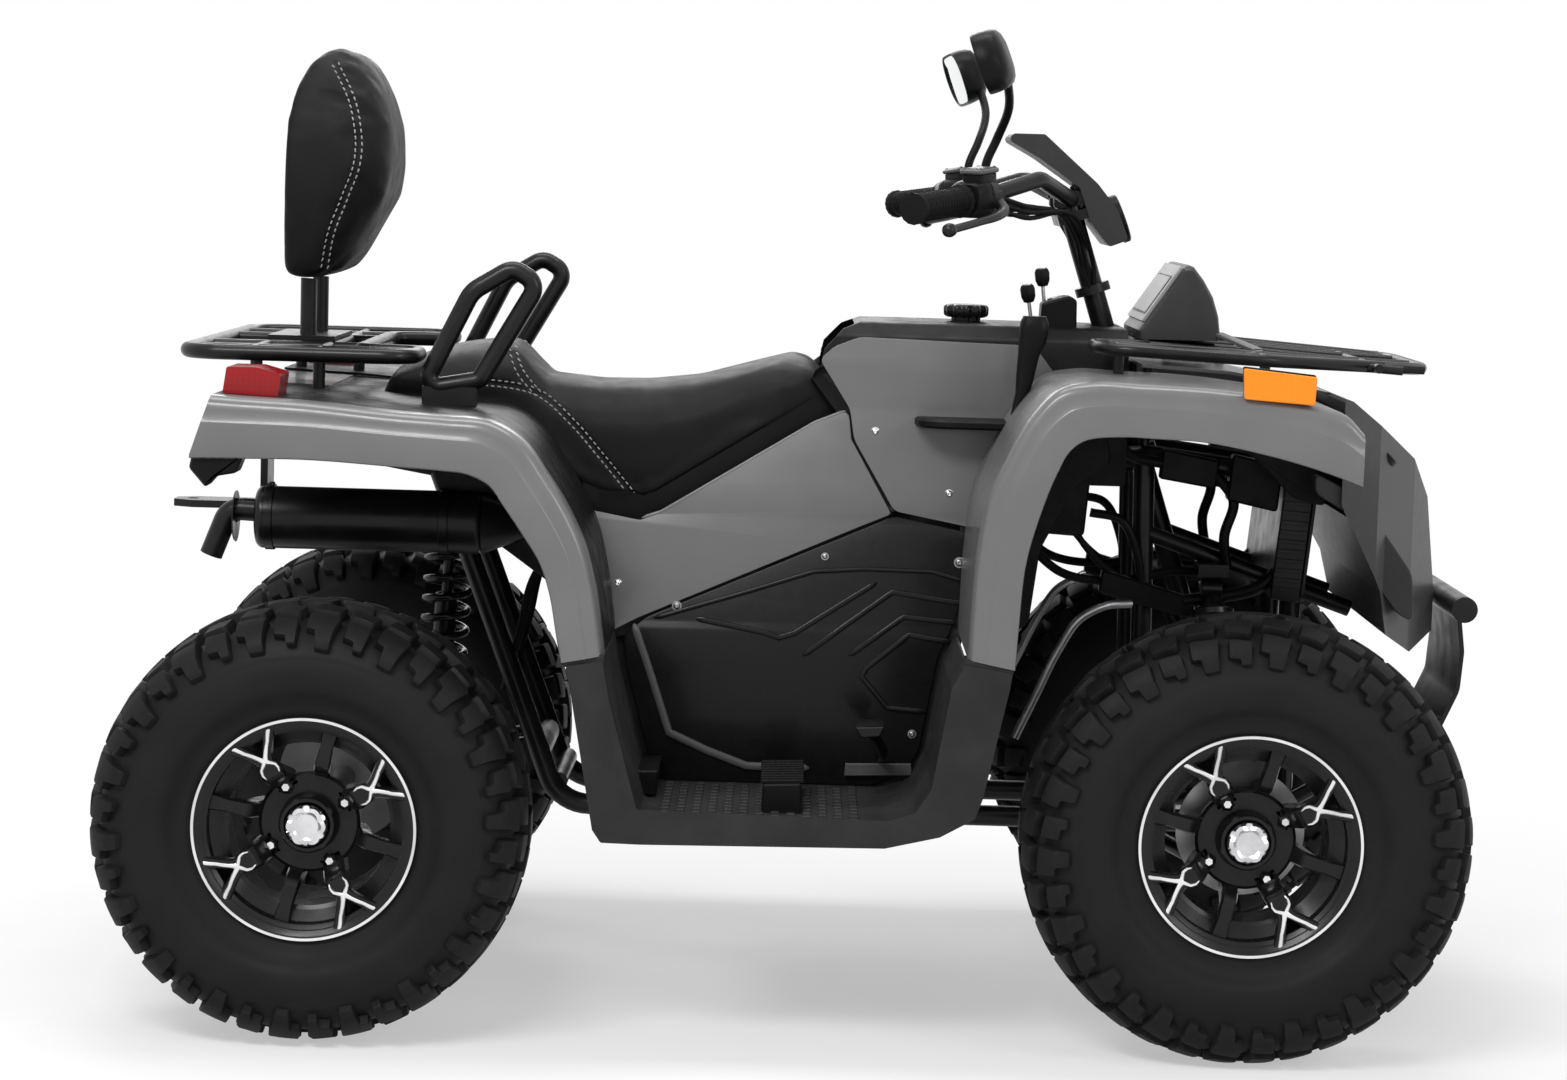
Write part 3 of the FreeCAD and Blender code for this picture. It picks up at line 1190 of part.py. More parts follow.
def build():
    for item in front_wheel_pieces() + rear_wheel_pieces():
        hand_in(item, item.Name)
    hand_in(rear_axle(), "rear_axle")
    right = knuckle()
    hand_in(right, "knuckle_right")
    hand_in(mirrored("knuckle_left", right), "knuckle_left")
    rod_right = tie_rod()
    hand_in(rod_right, "tie_rod_right")
    hand_in(mirrored("tie_rod_left", rod_right), "tie_rod_left")
    doc.recompute()
    hand_in(steering_column(), "steering_column")
    hand_in(handlebar(), "handlebar")
    hand_in(grips(), "grips")
    hand_in(brake_levers(), "brake_levers")
    hand_in(mirrors(), "mirrors")
    hand_in(mirror_glass(), "mirror_glass")
    hand_in(wishbones(), "wishbones")
    hand_in(frame(), "frame")
    hand_in(engine(), "engine")
    hand_in(swingarm(), "swingarm")
    hand_in(rear_shock(), "rear_shock")
    hand_in(front_shocks(), "front_shocks")
    doc.recompute()
    hand_in(muffler(), "muffler")
    hand_in(bar_lamp(), "bar_lamp")
    hand_in(front_fender(), "front_fender")
    hand_in(rear_fender(), "rear_fender")
    hand_in(footwells(), "footwells")
    hand_in(side_covers(), "side_covers")
    hand_in(side_panels(), "side_panels")
    hand_in(tank_cover(), "tank_cover")
    hand_in(fuel_cap(), "fuel_cap")
    hand_in(seat(), "seat")
    hand_in(backrest(), "backrest")
    doc.recompute()
    hand_in(backrest_posts(), "backrest_posts")
    hand_in(rear_rack(), "rear_rack")
    hand_in(grab_handles(), "grab_handles")
    hand_in(front_rack(), "front_rack")
    hand_in(storage_pod(), "storage_pod")
    hand_in(front_bumper(), "front_bumper")
    hand_in(nose(), "nose")
    hand_in(hood(), "hood")
    doc.recompute()
    hand_in(headlamps(), "headlamps")
    hand_in(lamp_block("side_reflectors", (540, -506, 828), (625, -500.3, 846), 5), "side_reflectors")
    hand_in(rear_lamps(), "rear_lamps")
    hand_in(gear_lever(), "gear_lever")
    hand_in(tow_plate(), "tow_plate")
    doc.recompute()


build()
problems = []
for item in doc.Objects:
    if "Invalid" in item.State or "Error" in item.State:
        problems.append(f"{item.Name}: {item.State}")
os.makedirs("parts", exist_ok=True)
for name, item in PARTS:
    shape = item.Shape
    if shape.isNull() or not shape.isValid() or not shape.Solids:
        problems.append(f"{name}: not a valid solid")
        continue
    if shape.ShapeType in ("Compound", "CompSolid"):
        shape = shape.Solids[0] if len(shape.Solids) == 1 else Part.makeCompound(shape.Solids)
    shape.exportStep(f"parts/{name}.step")
if problems:
    raise ValueError("; ".join(problems))
print(len(PARTS), "pieces written")
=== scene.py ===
"""Looks of the quad bike: paint, rubber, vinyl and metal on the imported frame, with soft and moulded pieces.

Everything is in metres in the frame's own coordinates: X forward, Y to the rider's left, Z up.
"""

import json
import math

import bmesh
import bpy
import numpy as np
from mathutils import Matrix, Vector, bvhtree


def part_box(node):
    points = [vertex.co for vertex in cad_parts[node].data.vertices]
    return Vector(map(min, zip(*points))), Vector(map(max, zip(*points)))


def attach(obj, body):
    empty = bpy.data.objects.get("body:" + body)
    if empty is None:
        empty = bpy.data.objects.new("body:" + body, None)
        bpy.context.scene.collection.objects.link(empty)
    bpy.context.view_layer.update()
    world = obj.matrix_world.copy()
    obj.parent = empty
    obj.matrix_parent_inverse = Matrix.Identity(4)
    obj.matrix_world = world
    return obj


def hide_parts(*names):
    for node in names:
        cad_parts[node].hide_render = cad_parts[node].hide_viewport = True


bl_info = {
    "name": "Quad bike looks",
    "version": (1, 0, 0),
    "blender": (4, 5, 0),
    "location": "3D View > Sidebar > Quad bike",
    "description": "Dresses the packed quad bike with its finishes, tyres, wheels, seat and trim",
    "category": "Object",
}

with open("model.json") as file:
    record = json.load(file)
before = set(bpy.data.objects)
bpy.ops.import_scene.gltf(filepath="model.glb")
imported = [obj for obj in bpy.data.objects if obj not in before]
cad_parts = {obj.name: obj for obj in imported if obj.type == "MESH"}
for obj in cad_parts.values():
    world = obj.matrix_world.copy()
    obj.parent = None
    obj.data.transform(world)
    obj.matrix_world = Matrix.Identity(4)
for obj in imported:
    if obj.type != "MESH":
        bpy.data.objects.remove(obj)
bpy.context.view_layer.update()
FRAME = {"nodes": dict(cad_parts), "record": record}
NODES = FRAME["nodes"]
PHOTO_WIDTH, FOCAL_PIXELS = 1567, 3663.2
CAMERA_PLACE = (-0.0197, -5.0, 1.1042)
CAMERA_ANGLES = (-0.092, 5.695, 1.658)  # yaw, pitch and roll in degrees
HALF_WIDTH = 0.5  # of the arches
FOOTWELL_FLOOR = 0.3
FINISHES = {}  # this script's materials by name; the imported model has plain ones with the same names


# Shader maths


class Sock:
    """A shader value: wraps an output socket so that + and * add Math nodes."""

    def __init__(self, shader, socket):
        self.shader, self.socket = shader, socket

    def _math(self, operation, first, second=0.0):
        return self.shader.add("ShaderNodeMath", {"operation": operation}, {0: first, 1: second})

    def __add__(self, other):
        return self._math("ADD", self, other)

    __radd__ = __add__

    def __mul__(self, other):
        return self._math("MULTIPLY", self, other)

    __rmul__ = __mul__

    def power(self, other):
        return self._math("POWER", self, other)

    def wave(self):
        return self._math("SINE", self)

    def step(self, low, high, start=0.0, end=1.0):
        """Rises smoothly from start to end between low and high."""
        return self.shader.add(
            "ShaderNodeMapRange",
            {"interpolation_type": "SMOOTHSTEP", "clamp": True},
            {"Value": self, "From Min": low, "From Max": high, "To Min": start, "To Max": end},
        )


class Nodes:
    """Builds the nodes of a material or of the world."""

    def __init__(self, owner):
        owner.use_nodes = True
        self.tree = owner.node_tree
        self.tree.nodes.clear()

    def add(self, kind, settings, inputs, output=0):
        """Adds a node: its settings first, then each socket's value or link."""
        made = self.tree.nodes.new(kind)
        for key, value in settings.items():
            setattr(made, key, value)
        for key, value in inputs.items():
            socket = made.inputs[key]
            if isinstance(value, Sock):
                self.tree.links.new(value.socket, socket)
            elif value is not None:
                socket.default_value = value
        return Sock(self, made.outputs[output])

    def end(self, shader, kind="ShaderNodeOutputMaterial"):
        """Joins a shader to the output."""
        self.tree.links.new(shader.socket, self.tree.nodes.new(kind).inputs["Surface"])

    def seen(self):
        """1 for rays from the camera, mirrored rays and rays that pass through; 0 for the rest."""
        rays = self.tree.nodes.new("ShaderNodeLightPath").outputs
        found = Sock(self, rays["Is Camera Ray"])
        for kind in ("Is Glossy Ray", "Is Transmission Ray"):
            found = self.add("ShaderNodeMath", {"operation": "MAXIMUM"},
                             {0: found, 1: Sock(self, rays[kind])})
        return found


class Shader(Nodes):
    """Builds one material's nodes."""

    def __init__(self, name):
        self.material = FINISHES[name] = bpy.data.materials.new(name)
        super().__init__(self.material)
        self.place = self.add("ShaderNodeTexCoord", {}, {}, "Object")

    def noise(self, scale, detail=3.0, roughness=0.5):
        return self.add("ShaderNodeTexNoise", {},
                        {"Vector": self.place, "Scale": scale, "Detail": detail, "Roughness": roughness})

    def cells(self, scale, feature="F1"):
        return self.add("ShaderNodeTexVoronoi", {"feature": feature}, {"Vector": self.place, "Scale": scale})

    def axes(self):
        split = self.tree.nodes.new("ShaderNodeSeparateXYZ")
        self.tree.links.new(self.place.socket, split.inputs[0])
        return [Sock(self, split.outputs[i]) for i in range(3)]

    def mix(self, factor, first, second):
        """Blends two colours."""
        made = self.tree.nodes.new("ShaderNodeMix")
        made.data_type = "RGBA"
        for index, value in ((0, factor), (6, first), (7, second)):
            if isinstance(value, Sock):
                self.tree.links.new(value.socket, made.inputs[index])
            else:
                made.inputs[index].default_value = value if index == 0 else (*value[:3], 1.0)
        return Sock(self, made.outputs[2])

    def bump(self, height, strength=0.3, distance=0.0005, normal=None):
        return self.add("ShaderNodeBump", {},
                        {"Height": height, "Strength": strength, "Distance": distance, "Normal": normal})

    def finish(self, **sockets):
        """Puts the Principled shader and the output on the end. Names use _ for spaces."""
        inputs = {}
        for key, value in sockets.items():
            name = key.replace("_", " ")
            inputs[name] = (*value, 1.0) if isinstance(value, tuple) and len(value) == 3 else value
        self.end(self.add("ShaderNodeBsdfPrincipled", {}, inputs))


def shade(colour, factor):
    """A colour made lighter or darker."""
    return tuple(min(1.0, c * factor) for c in colour[:3])


def gloss_paint(name, colour):
    """Moulded panels in gloss grey: faint flake, soft orange peel and dust in the roughness."""
    s = Shader(name)
    cloud = s.noise(6.0, 3.0)
    flake = s.cells(2600.0)
    peel = s.noise(260.0, 2.0)
    tone = s.mix(cloud.step(0.3, 0.7), shade(colour, 0.93), shade(colour, 1.06))
    tone = s.mix(flake.step(0.0, 0.35, 0.05, 0.0), tone, (0.5, 0.5, 0.5))
    s.finish(
        Base_Color=tone, Roughness=s.noise(40.0, 4.0).step(0.3, 0.8, 0.3, 0.42), Coat_Weight=0.3,
        Coat_Roughness=0.12, Specular_IOR_Level=0.4, Normal=s.bump(peel, 0.04, 0.0004),
    )


def grained_plastic(name, colour, rough=0.5, grain=900.0, depth=0.25):
    """Unpainted moulded plastic: leather-like grain, with worn shine in patches."""
    s = Shader(name)
    pebble = s.cells(grain)
    cloud = s.noise(12.0, 4.0)
    tone = s.mix(cloud.step(0.3, 0.75), shade(colour, 0.85), shade(colour, 1.25))
    s.finish(
        Base_Color=tone, Roughness=s.noise(30.0, 4.0).step(0.3, 0.75, rough - 0.08, rough + 0.1),
        Specular_IOR_Level=0.1, Normal=s.bump(pebble, depth, 0.0004),
    )


def smooth_plastic(name, colour, rough):
    """Moulded plastic with an even shine: faint flow marks and a little dust."""
    s = Shader(name)
    flow = s.noise(9.0, 2.0)
    dust = s.noise(70.0, 5.0)
    tone = s.mix(dust.step(0.4, 0.9), colour, shade(colour, 1.18))
    s.finish(
        Base_Color=tone, Roughness=dust.step(0.3, 0.8, rough - 0.03, rough + 0.05), Specular_IOR_Level=0.16,
        Coat_Weight=0.1, Coat_Roughness=0.12, Normal=s.bump(flow, 0.08, 0.004),
    )


def powder_coat(name, colour, rough=0.34):
    """Powder-coated steel: fine peel under a satin shine."""
    s = Shader(name)
    peel = s.noise(900.0, 3.0)
    dust = s.noise(24.0, 4.0)
    tone = s.mix(dust.step(0.4, 0.8), colour, shade(colour, 1.5))
    s.finish(
        Base_Color=tone, Roughness=dust.step(0.3, 0.8, rough - 0.06, rough + 0.12), Specular_IOR_Level=0.2,
        Coat_Weight=0.08, Coat_Roughness=0.15, Normal=s.bump(peel, 0.12, 0.0003),
    )


def bare_metal(name, colour, rough=0.32, lines=0.15):
    """Machined or cast metal, with fine tool marks."""
    s = Shader(name)
    marks = s.noise(700.0, 2.0, 0.7)
    stain = s.noise(18.0, 4.0)
    tone = s.mix(stain.step(0.35, 0.8), colour, shade(colour, 0.72))
    s.finish(
        Base_Color=tone, Metallic=1.0, Roughness=stain.step(0.3, 0.8, rough, rough + 0.16),
        Normal=s.bump(marks, lines, 0.0002),
    )


def tyre_rubber(name, colour):
    """Tyre rubber: matt, dusty in patches, fine mould grain."""
    s = Shader(name)
    grain = s.noise(1400.0, 3.0)
    cloud = s.noise(14.0, 5.0)
    tone = s.mix(cloud.step(0.35, 0.75), colour, shade(colour, 1.7))
    s.finish(
        Base_Color=tone, Roughness=cloud.step(0.3, 0.8, 0.55, 0.75), Specular_IOR_Level=0.16,
        Normal=s.bump(grain, 0.2, 0.0004),
    )


def vinyl(name, colour):
    """Seat vinyl: fine pebbled grain with a soft sheen and faint creases."""
    s = Shader(name)
    pebble = s.cells(1100.0, "DISTANCE_TO_EDGE")
    crease = s.noise(34.0, 5.0, 0.6)
    cloud = s.noise(9.0, 3.0)
    tone = s.mix(cloud.step(0.3, 0.7), shade(colour, 0.9), shade(colour, 1.2))
    grain = s.bump(pebble.step(0.0, 0.14), 0.22, 0.0003)
    s.finish(
        Base_Color=tone, Roughness=crease.step(0.3, 0.8, 0.46, 0.6), Specular_IOR_Level=0.12,
        Normal=s.bump(crease, 0.12, 0.002, grain),
    )


def clear_lens(name, colour, depth):
    """Lamp plastic with moulded ribs behind a smooth face; depth is how far the ribs darken it."""
    s = Shader(name)
    x, _, z = s.axes()
    ribs = ((x * 900.0).wave() + (z * 900.0).wave()) * 0.25 + 0.5
    tone = s.mix(ribs, shade(colour, 1.0 - depth), shade(colour, 1.0 + depth))
    s.finish(
        Base_Color=tone, Roughness=0.22, Specular_IOR_Level=0.3, Coat_Weight=0.25, Coat_Roughness=0.05,
        Normal=s.bump(ribs, 0.6 * depth, 0.0006),
    )


def silvered(name):
    """Mirror glass with faint dust."""
    s = Shader(name)
    dust = s.noise(60.0, 4.0)
    s.finish(Base_Color=(0.86, 0.87, 0.88), Metallic=1.0, Roughness=dust.step(0.4, 0.8, 0.02, 0.07))


def paint(node, material):
    """Puts one material on a CAD node."""
    if not node.material_slots:
        node.data.materials.append(material)
    for held in node.material_slots:
        held.link = "OBJECT"
        held.material = material


def tinted(name, description, *default):
    """The keywords of a colour property."""
    return {"name": name, "description": description, "subtype": "COLOR", "size": 3, "min": 0, "max": 1,
            "default": default}


def sized(name, description, default):
    """The keywords of a length property."""
    return {"name": name, "description": description, "unit": "LENGTH", "default": default}


class Colours(bpy.types.PropertyGroup):
    """Colours of the finishes."""

    body: bpy.props.FloatVectorProperty(**tinted("Body", "Painted panels", 0.128, 0.128, 0.131))
    moulding: bpy.props.FloatVectorProperty(**tinted("Mouldings", "Dark mouldings", 0.024, 0.024, 0.025))
    trim: bpy.props.FloatVectorProperty(**tinted("Trim", "Black plastic trim", 0.0055, 0.0055, 0.006))
    steel: bpy.props.FloatVectorProperty(**tinted("Tubes", "Powder-coated tubes", 0.0058, 0.0058, 0.0061))
    rubber: bpy.props.FloatVectorProperty(**tinted("Tyres", "Tyre rubber", 0.006, 0.006, 0.0062))
    vinyl: bpy.props.FloatVectorProperty(**tinted("Seat", "Seat vinyl", 0.0062, 0.0062, 0.0065))
    amber: bpy.props.FloatVectorProperty(**tinted("Amber", "Front side reflectors", 0.9, 0.24, 0.003))
    red: bpy.props.FloatVectorProperty(**tinted("Red", "Rear lamps", 0.3, 0.001, 0.004))


class Sizes(bpy.types.PropertyGroup):
    """Sizes of the fine features, in metres."""

    lug: bpy.props.FloatProperty(**sized("Lugs", "Height of the tread blocks", 0.0125))
    wall: bpy.props.FloatProperty(**sized("Wall", "Thickness of the arches", 0.003))
    gap: bpy.props.FloatProperty(**sized("Stitch pitch", "From stitch to stitch", 0.0085))
    stitch: bpy.props.FloatProperty(**sized("Stitch", "Length of a stitch", 0.0052))
    thread: bpy.props.FloatProperty(**sized("Thread", "Radius of the thread", 0.0011))
    front_wire: bpy.props.FloatProperty(**sized("Front wire", "Wire radius of the front springs", 0.0045))
    rear_wire: bpy.props.FloatProperty(**sized("Rear wire", "Wire radius of the rear spring", 0.0055))


def sizes():
    """The sizes set in the scene."""
    return bpy.context.scene.quad_sizes


def dress_nodes():
    """Makes the finishes and gives every CAD node the one its slot names."""
    c = bpy.context.scene.quad_colours
    moulding, trim, steel = tuple(c.moulding), tuple(c.trim), tuple(c.steel)
    gloss_paint("body_grey", tuple(c.body))
    grained_plastic("dark_plastic", moulding, 0.42)
    grained_plastic("black_plastic", trim, 0.4)
    powder_coat("black_steel", steel)
    powder_coat("spring_steel", steel, 0.25)
    tyre_rubber("tyre_rubber", tuple(c.rubber))
    grained_plastic("grip_rubber", trim, 0.6)
    powder_coat("wheel_alloy", steel, 0.28)
    bare_metal("bare_steel", (0.36, 0.36, 0.37))
    bare_metal("cast_part", (0.12, 0.12, 0.125), 0.45, 0.4)
    vinyl("seat_vinyl", tuple(c.vinyl))
    clear_lens("clear_lens", (0.42, 0.43, 0.44), 0.35)
    clear_lens("amber_lens", tuple(c.amber), 0.04)
    clear_lens("red_lens", tuple(c.red), 0.1)
    silvered("mirror_glass")
    bare_metal("machined", (0.86, 0.86, 0.87), 0.24, 0.05)
    bare_metal("chrome", (0.8, 0.8, 0.82), 0.1, 0.02)
    grained_plastic("thread", (0.3, 0.3, 0.3), 0.7)
    smooth_plastic("cover_black", trim, 0.3)
    smooth_plastic("cap_gloss", trim, 0.16)
    smooth_plastic("rim_grey", (0.085, 0.085, 0.087), 0.34)
    smooth_plastic("cowl_grey", (0.03, 0.03, 0.031), 0.42)
    smooth_plastic("nose_grey", (0.062, 0.062, 0.063), 0.4)
    smooth_plastic("lid_grey", (0.3, 0.3, 0.305), 0.45)
    for part in FRAME["record"]["subparts"]:
        paint(NODES[part["node"]], FINISHES[part["material_slot"]])
    paint(NODES["bar_lamp"], FINISHES["cowl_grey"])
    paint(NODES["nose"], FINISHES["nose_grey"])


class Maker:
    """Runs an operator's functions, its makers, in their order."""

    def execute(self, context):
        for make in self.makers:
            make()
        return {"FINISHED"}


class QUAD_OT_finishes(Maker, bpy.types.Operator):
    """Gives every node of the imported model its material"""

    bl_idname = "quad.finishes"
    bl_label = "Finishes"
    makers = (dress_nodes,)


# Surfaces


class Parts:
    """Gathers grids of points and faces into one mesh."""

    def __init__(self):
        self.points, self.faces, self.count = [], [], 0

    def grid(self, points, round_rows=False, round_columns=False, flip=False, caps=False):
        """Adds a grid shaped (rows, columns, 3). A round one joins its last row or column to its first,
        and caps close the first and last row of a grid whose columns go round."""
        rows, columns = points.shape[:2]
        index = np.arange(rows * columns).reshape(rows, columns) + self.count
        if round_rows:
            index = np.vstack([index, index[:1]])
        if round_columns:
            index = np.hstack([index, index[:, :1]])
        quads = np.stack([index[:-1, :-1], index[:-1, 1:], index[1:, 1:], index[1:, :-1]], -1).reshape(-1, 4)
        ends = [index[0, :columns][::-1], index[-1, :columns]] if caps else []
        for faces in (quads, *(e[None] for e in ends)):
            self.faces.append(faces[:, ::-1] if flip else faces)
        self.points.append(np.asarray(points, float).reshape(-1, 3))
        self.count += rows * columns
        return self

    def closed(self, points, flip=False):
        """Adds a grid whose columns go round, with a cap on either end."""
        return self.grid(points, round_columns=True, flip=flip, caps=True)

    def hoop(self, points, flip=False):
        """Adds a grid that goes round both ways."""
        return self.grid(points, round_rows=True, round_columns=True, flip=flip)

    def mesh(self, name, transform=None):
        """The gathered faces as a mesh. transform takes and returns an array of points."""
        points = np.concatenate(self.points)
        if transform is not None:
            points = transform(points)
        mesh = bpy.data.meshes.new(name)
        mesh.from_pydata(points.tolist(), [], [f for faces in self.faces for f in faces.tolist()])
        mesh.validate()
        return mesh


def show(mesh, material, body, stands_for=(), sharp=35.0):
    """Puts a mesh in the scene as a piece: smooth up to an angle, dressed, and riding on a body."""
    piece = bpy.data.objects.new(mesh.name, mesh)
    bpy.context.scene.collection.objects.link(piece)
    smoothed(mesh, sharp)
    mesh.materials.append(material)
    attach(piece, body)
    if stands_for:
        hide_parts(*stands_for)
    return piece


def smoothed(mesh, sharp):
    """Shades a mesh smooth, apart from edges sharper than so many degrees."""
    mesh.polygons.foreach_set("use_smooth", np.ones(len(mesh.polygons), bool))
    mesh.set_sharp_from_angle(angle=math.radians(sharp))


def outward(mesh):
    """Turns every face of a closed mesh outwards."""
    work = bmesh.new()
    work.from_mesh(mesh)
    bmesh.ops.remove_doubles(work, verts=work.verts, dist=1e-6)
    bmesh.ops.recalc_face_normals(work, faces=work.faces)
    work.to_mesh(mesh)
    work.free()
    return mesh


def add_piece(parts, name, finish, sharp=30.0, stands_for=(), body="chassis", transform=None):
    """Shows gathered faces as a closed piece. Its slot has its finish's name."""
    mesh = outward(parts.mesh(name, transform))
    return show(mesh, FINISHES[finish], body, stands_for, sharp)


def right_only(side, *nodes):
    """The nodes that a pair of pieces replaces, given to the right-hand piece alone."""
    return nodes if side < 0 else ()


def walked(line):
    """How far along a line each of its points lies."""
    return np.concatenate([[0], np.cumsum(np.linalg.norm(np.diff(line, axis=0), axis=1))])


def smooth_line(points, count):
    """A line through control points: cubic pieces whose slope at each point is that of its two neighbours,
    sampled at count places evenly along the control points' chords."""
    points = np.asarray(points, float)
    knots = walked(points)
    slopes = np.gradient(points, knots, axis=0)
    at = np.linspace(0, knots[-1], count)
    i = np.clip(np.searchsorted(knots, at, side="right") - 1, 0, len(knots) - 2)
    step = (knots[i + 1] - knots[i])[:, None]
    t = (at - knots[i])[:, None] / step
    return (
        (2 * t**3 - 3 * t**2 + 1) * points[i] + (t**3 - 2 * t**2 + t) * step * slopes[i]
        + (3 * t**2 - 2 * t**3) * points[i + 1] + (t**3 - t**2) * step * slopes[i + 1]
    )


def unit(vectors):
    """Vectors scaled to a length of one."""
    vectors = np.asarray(vectors, float)
    return vectors / np.maximum(np.linalg.norm(vectors, axis=-1, keepdims=True), 1e-12)


def swept(path, section, scale=None, up=(0, 0, 1)):
    """A section of (across, up) pairs carried along a path, square to it and level with up.
    scale gives each path point's (across, up) factors. The grid's rows follow the path."""
    path = np.asarray(path, float)
    along = unit(np.gradient(path, axis=0))
    across = unit(np.cross(along, np.broadcast_to(np.asarray(up, float), along.shape)))
    rise = np.cross(across, along)
    section = np.asarray(section, float)[None]
    if scale is not None:
        section = section * np.asarray(scale, float)[:, None, :]
    return path[:, None] + section[..., :1] * across[:, None] + section[..., 1:] * rise[:, None]


def angles(count):
    """So many angles, evenly round a circle."""
    return np.arange(count) * 2 * np.pi / count


def ring(count, radius=1.0, start=0.0):
    """Points round a circle, as (across, up) pairs."""
    a = angles(count) + start
    return np.stack([np.cos(a), np.sin(a)], -1) * radius


def turned(profile, count):
    """A profile of (radius, along) pairs spun about the Y axis. The grid's rows follow the profile."""
    a = angles(count)
    r, along = np.asarray(profile, float).T
    x, z = np.outer(r, np.cos(a)), np.outer(r, np.sin(a))
    return np.stack((x, np.broadcast_to(along[:, None], x.shape), z), -1)


def superellipse(count, power):
    """Points (a, b) round |a|^n + |b|^n = 1, where n is the power: 2 is a circle, more is squarer."""
    a = angles(count)
    c, s = np.cos(a), np.sin(a)
    return np.sign(c) * np.abs(c) ** (2 / power), np.sign(s) * np.abs(s) ** (2 / power)


def rise(value, low, high):
    """0 below low, 1 above high, and a smooth S between."""
    t = np.clip((value - low) / (high - low), 0, 1)
    return t * t * (3 - 2 * t)


# Wheels


BLOCKS = (
    # corners of one pitch's blocks: (place round the pitch, place across from crown to shoulder ring)
    ((0.04, 0.63), (0.46, 0.58), (0.5, 0.79), (0.37, 0.81), (0.35, 0.965), (0.13, 0.975), (0.1, 0.82)),
    ((0.6, 0.69), (0.93, 0.65), (0.96, 0.84), (0.79, 0.86), (0.77, 0.93), (0.63, 0.93)),
    ((0.02, 0.3), (0.4, 0.22), (0.47, 0.48), (0.1, 0.53)),
    ((0.54, 0.36), (0.92, 0.28), (0.97, 0.54), (0.62, 0.6)),
    ((0.2, -0.12), (0.62, -0.16), (0.7, 0.14), (0.27, 0.19)),
)


class Tyre:
    """A tyre's outer surface: a section from bead to bead over the crown, spun about the axle. A place on it
    is an angle round the axle and a distance across, from -1 to 1 between the shoulder rings."""

    ring_radius, bead = 0.222, 0.1275
    play = 0.0002  # how far every point keeps inside the tyre's own radius and width

    def __init__(self, radius, width, rim_half, pitches):
        half = width / 2
        self.lug = sizes().lug
        wing = [
            (self.bead, rim_half - 0.001), (0.139, rim_half - 0.0005), (0.145, rim_half + 0.001),
            (0.158, half - 0.01 - (half - rim_half) * 0.35), (0.181, half - 0.002), (0.205, half - 0.001),
            (self.ring_radius, half - 0.006), (radius - 0.037, half - 0.016), (radius - 0.024, half - 0.031),
            (radius - self.lug - 0.004, half * 0.45), (radius - self.lug, 0.0),
        ]
        line = smooth_line([(r, -y) for r, y in wing] + [(r, y) for r, y in wing[-2::-1]], 401)
        along = walked(line)
        slope = np.gradient(line, axis=0)
        self.line, self.normal = line, unit(np.stack([slope[:, 1], -slope[:, 0]], -1))
        crown = len(line) // 2
        reach = along[crown] - np.interp(self.ring_radius, line[:crown, 0], along[:crown])
        self.across = (along - along[crown]) / reach
        self.radius, self.width, self.rim_half, self.pitches = radius, width, rim_half, pitches

    def at(self, angle, across, lift=0.0):
        """Points at angles and places across, raised off the surface."""
        r, y, nr, ny = (np.interp(across, self.across, c) for c in (*self.line.T, *self.normal.T))
        most = self.width / 2 - self.play
        r = np.minimum(r + nr * lift, self.radius - self.play)
        y = np.clip(y + ny * lift, -most, most)
        return np.stack(np.broadcast_arrays(r * np.cos(angle), y, r * np.sin(angle)), -1)

    def carcass(self, parts, around=256, rows=104):
        """The spun section with a raised ring at each shoulder and fine ribs round the beads."""
        place = np.linspace(0, 1, rows)
        across = self.across[0] + (self.across[-1] - self.across[0]) * place
        size = np.abs(across)
        fine = np.interp(across, self.across, self.line[:, 0])
        lift = 0.0012 * np.exp(-(((size - 1.0) / 0.012) ** 2))
        ribs = 0.0006 * np.sin(fine * 2100.0)
        lift += ribs * rise(fine, 0.148, 0.15) * (1 - rise(fine, 0.16, 0.162)) * (size > 1)
        angle = angles(around)
        outside = self.at(angle[None], across[:, None], lift[:, None])
        half, r = self.width / 2, self.radius
        inside = smooth_line([(self.bead, self.rim_half - 0.013), (0.19, half - 0.018),
                              (r - 0.04, half * 0.6), (r - 0.034, 0.0), (r - 0.04, -half * 0.6),
                              (0.19, 0.018 - half), (self.bead, 0.013 - self.rim_half)], 15)
        parts.hoop(np.concatenate([outside, turned(inside, around)]))

    def blocks(self, parts):
        """Tread blocks: each outline is raised off the surface in rings that draw in towards a domed top."""
        heights = np.array((-0.25, 0.1, 0.86, 1.0, 1.04)) * self.lug
        scales = np.array((1.1, 1.03, 0.97, 0.9, 0.45))
        for corners in BLOCKS:
            corners = np.array(corners)
            ahead = np.roll(corners, -1, axis=0)
            outline = np.concatenate([a + (b - a) * np.linspace(0.08, 0.92, 4)[:, None]
                                      for a, b in zip(corners, ahead)])
            centre = outline.mean(axis=0)
            rings = centre + scales[:, None, None] * (outline - centre)
            for side in (-1, 1):
                for pitch in range(self.pitches):
                    angle = (pitch + rings[..., 0] + (0.5 if side > 0 else 0.0)) * 2 * np.pi / self.pitches
                    parts.closed(self.at(angle, side * rings[..., 1], heights[:, None]))


HUB_DEPTH = 0.058  # of the hub's face behind the lip
NUT_CIRCLE = 0.054  # radius that the wheel nuts stand on


def hub_face(half):
    """Where the hub's face lies along the axle."""
    return -(half + 0.006) + HUB_DEPTH


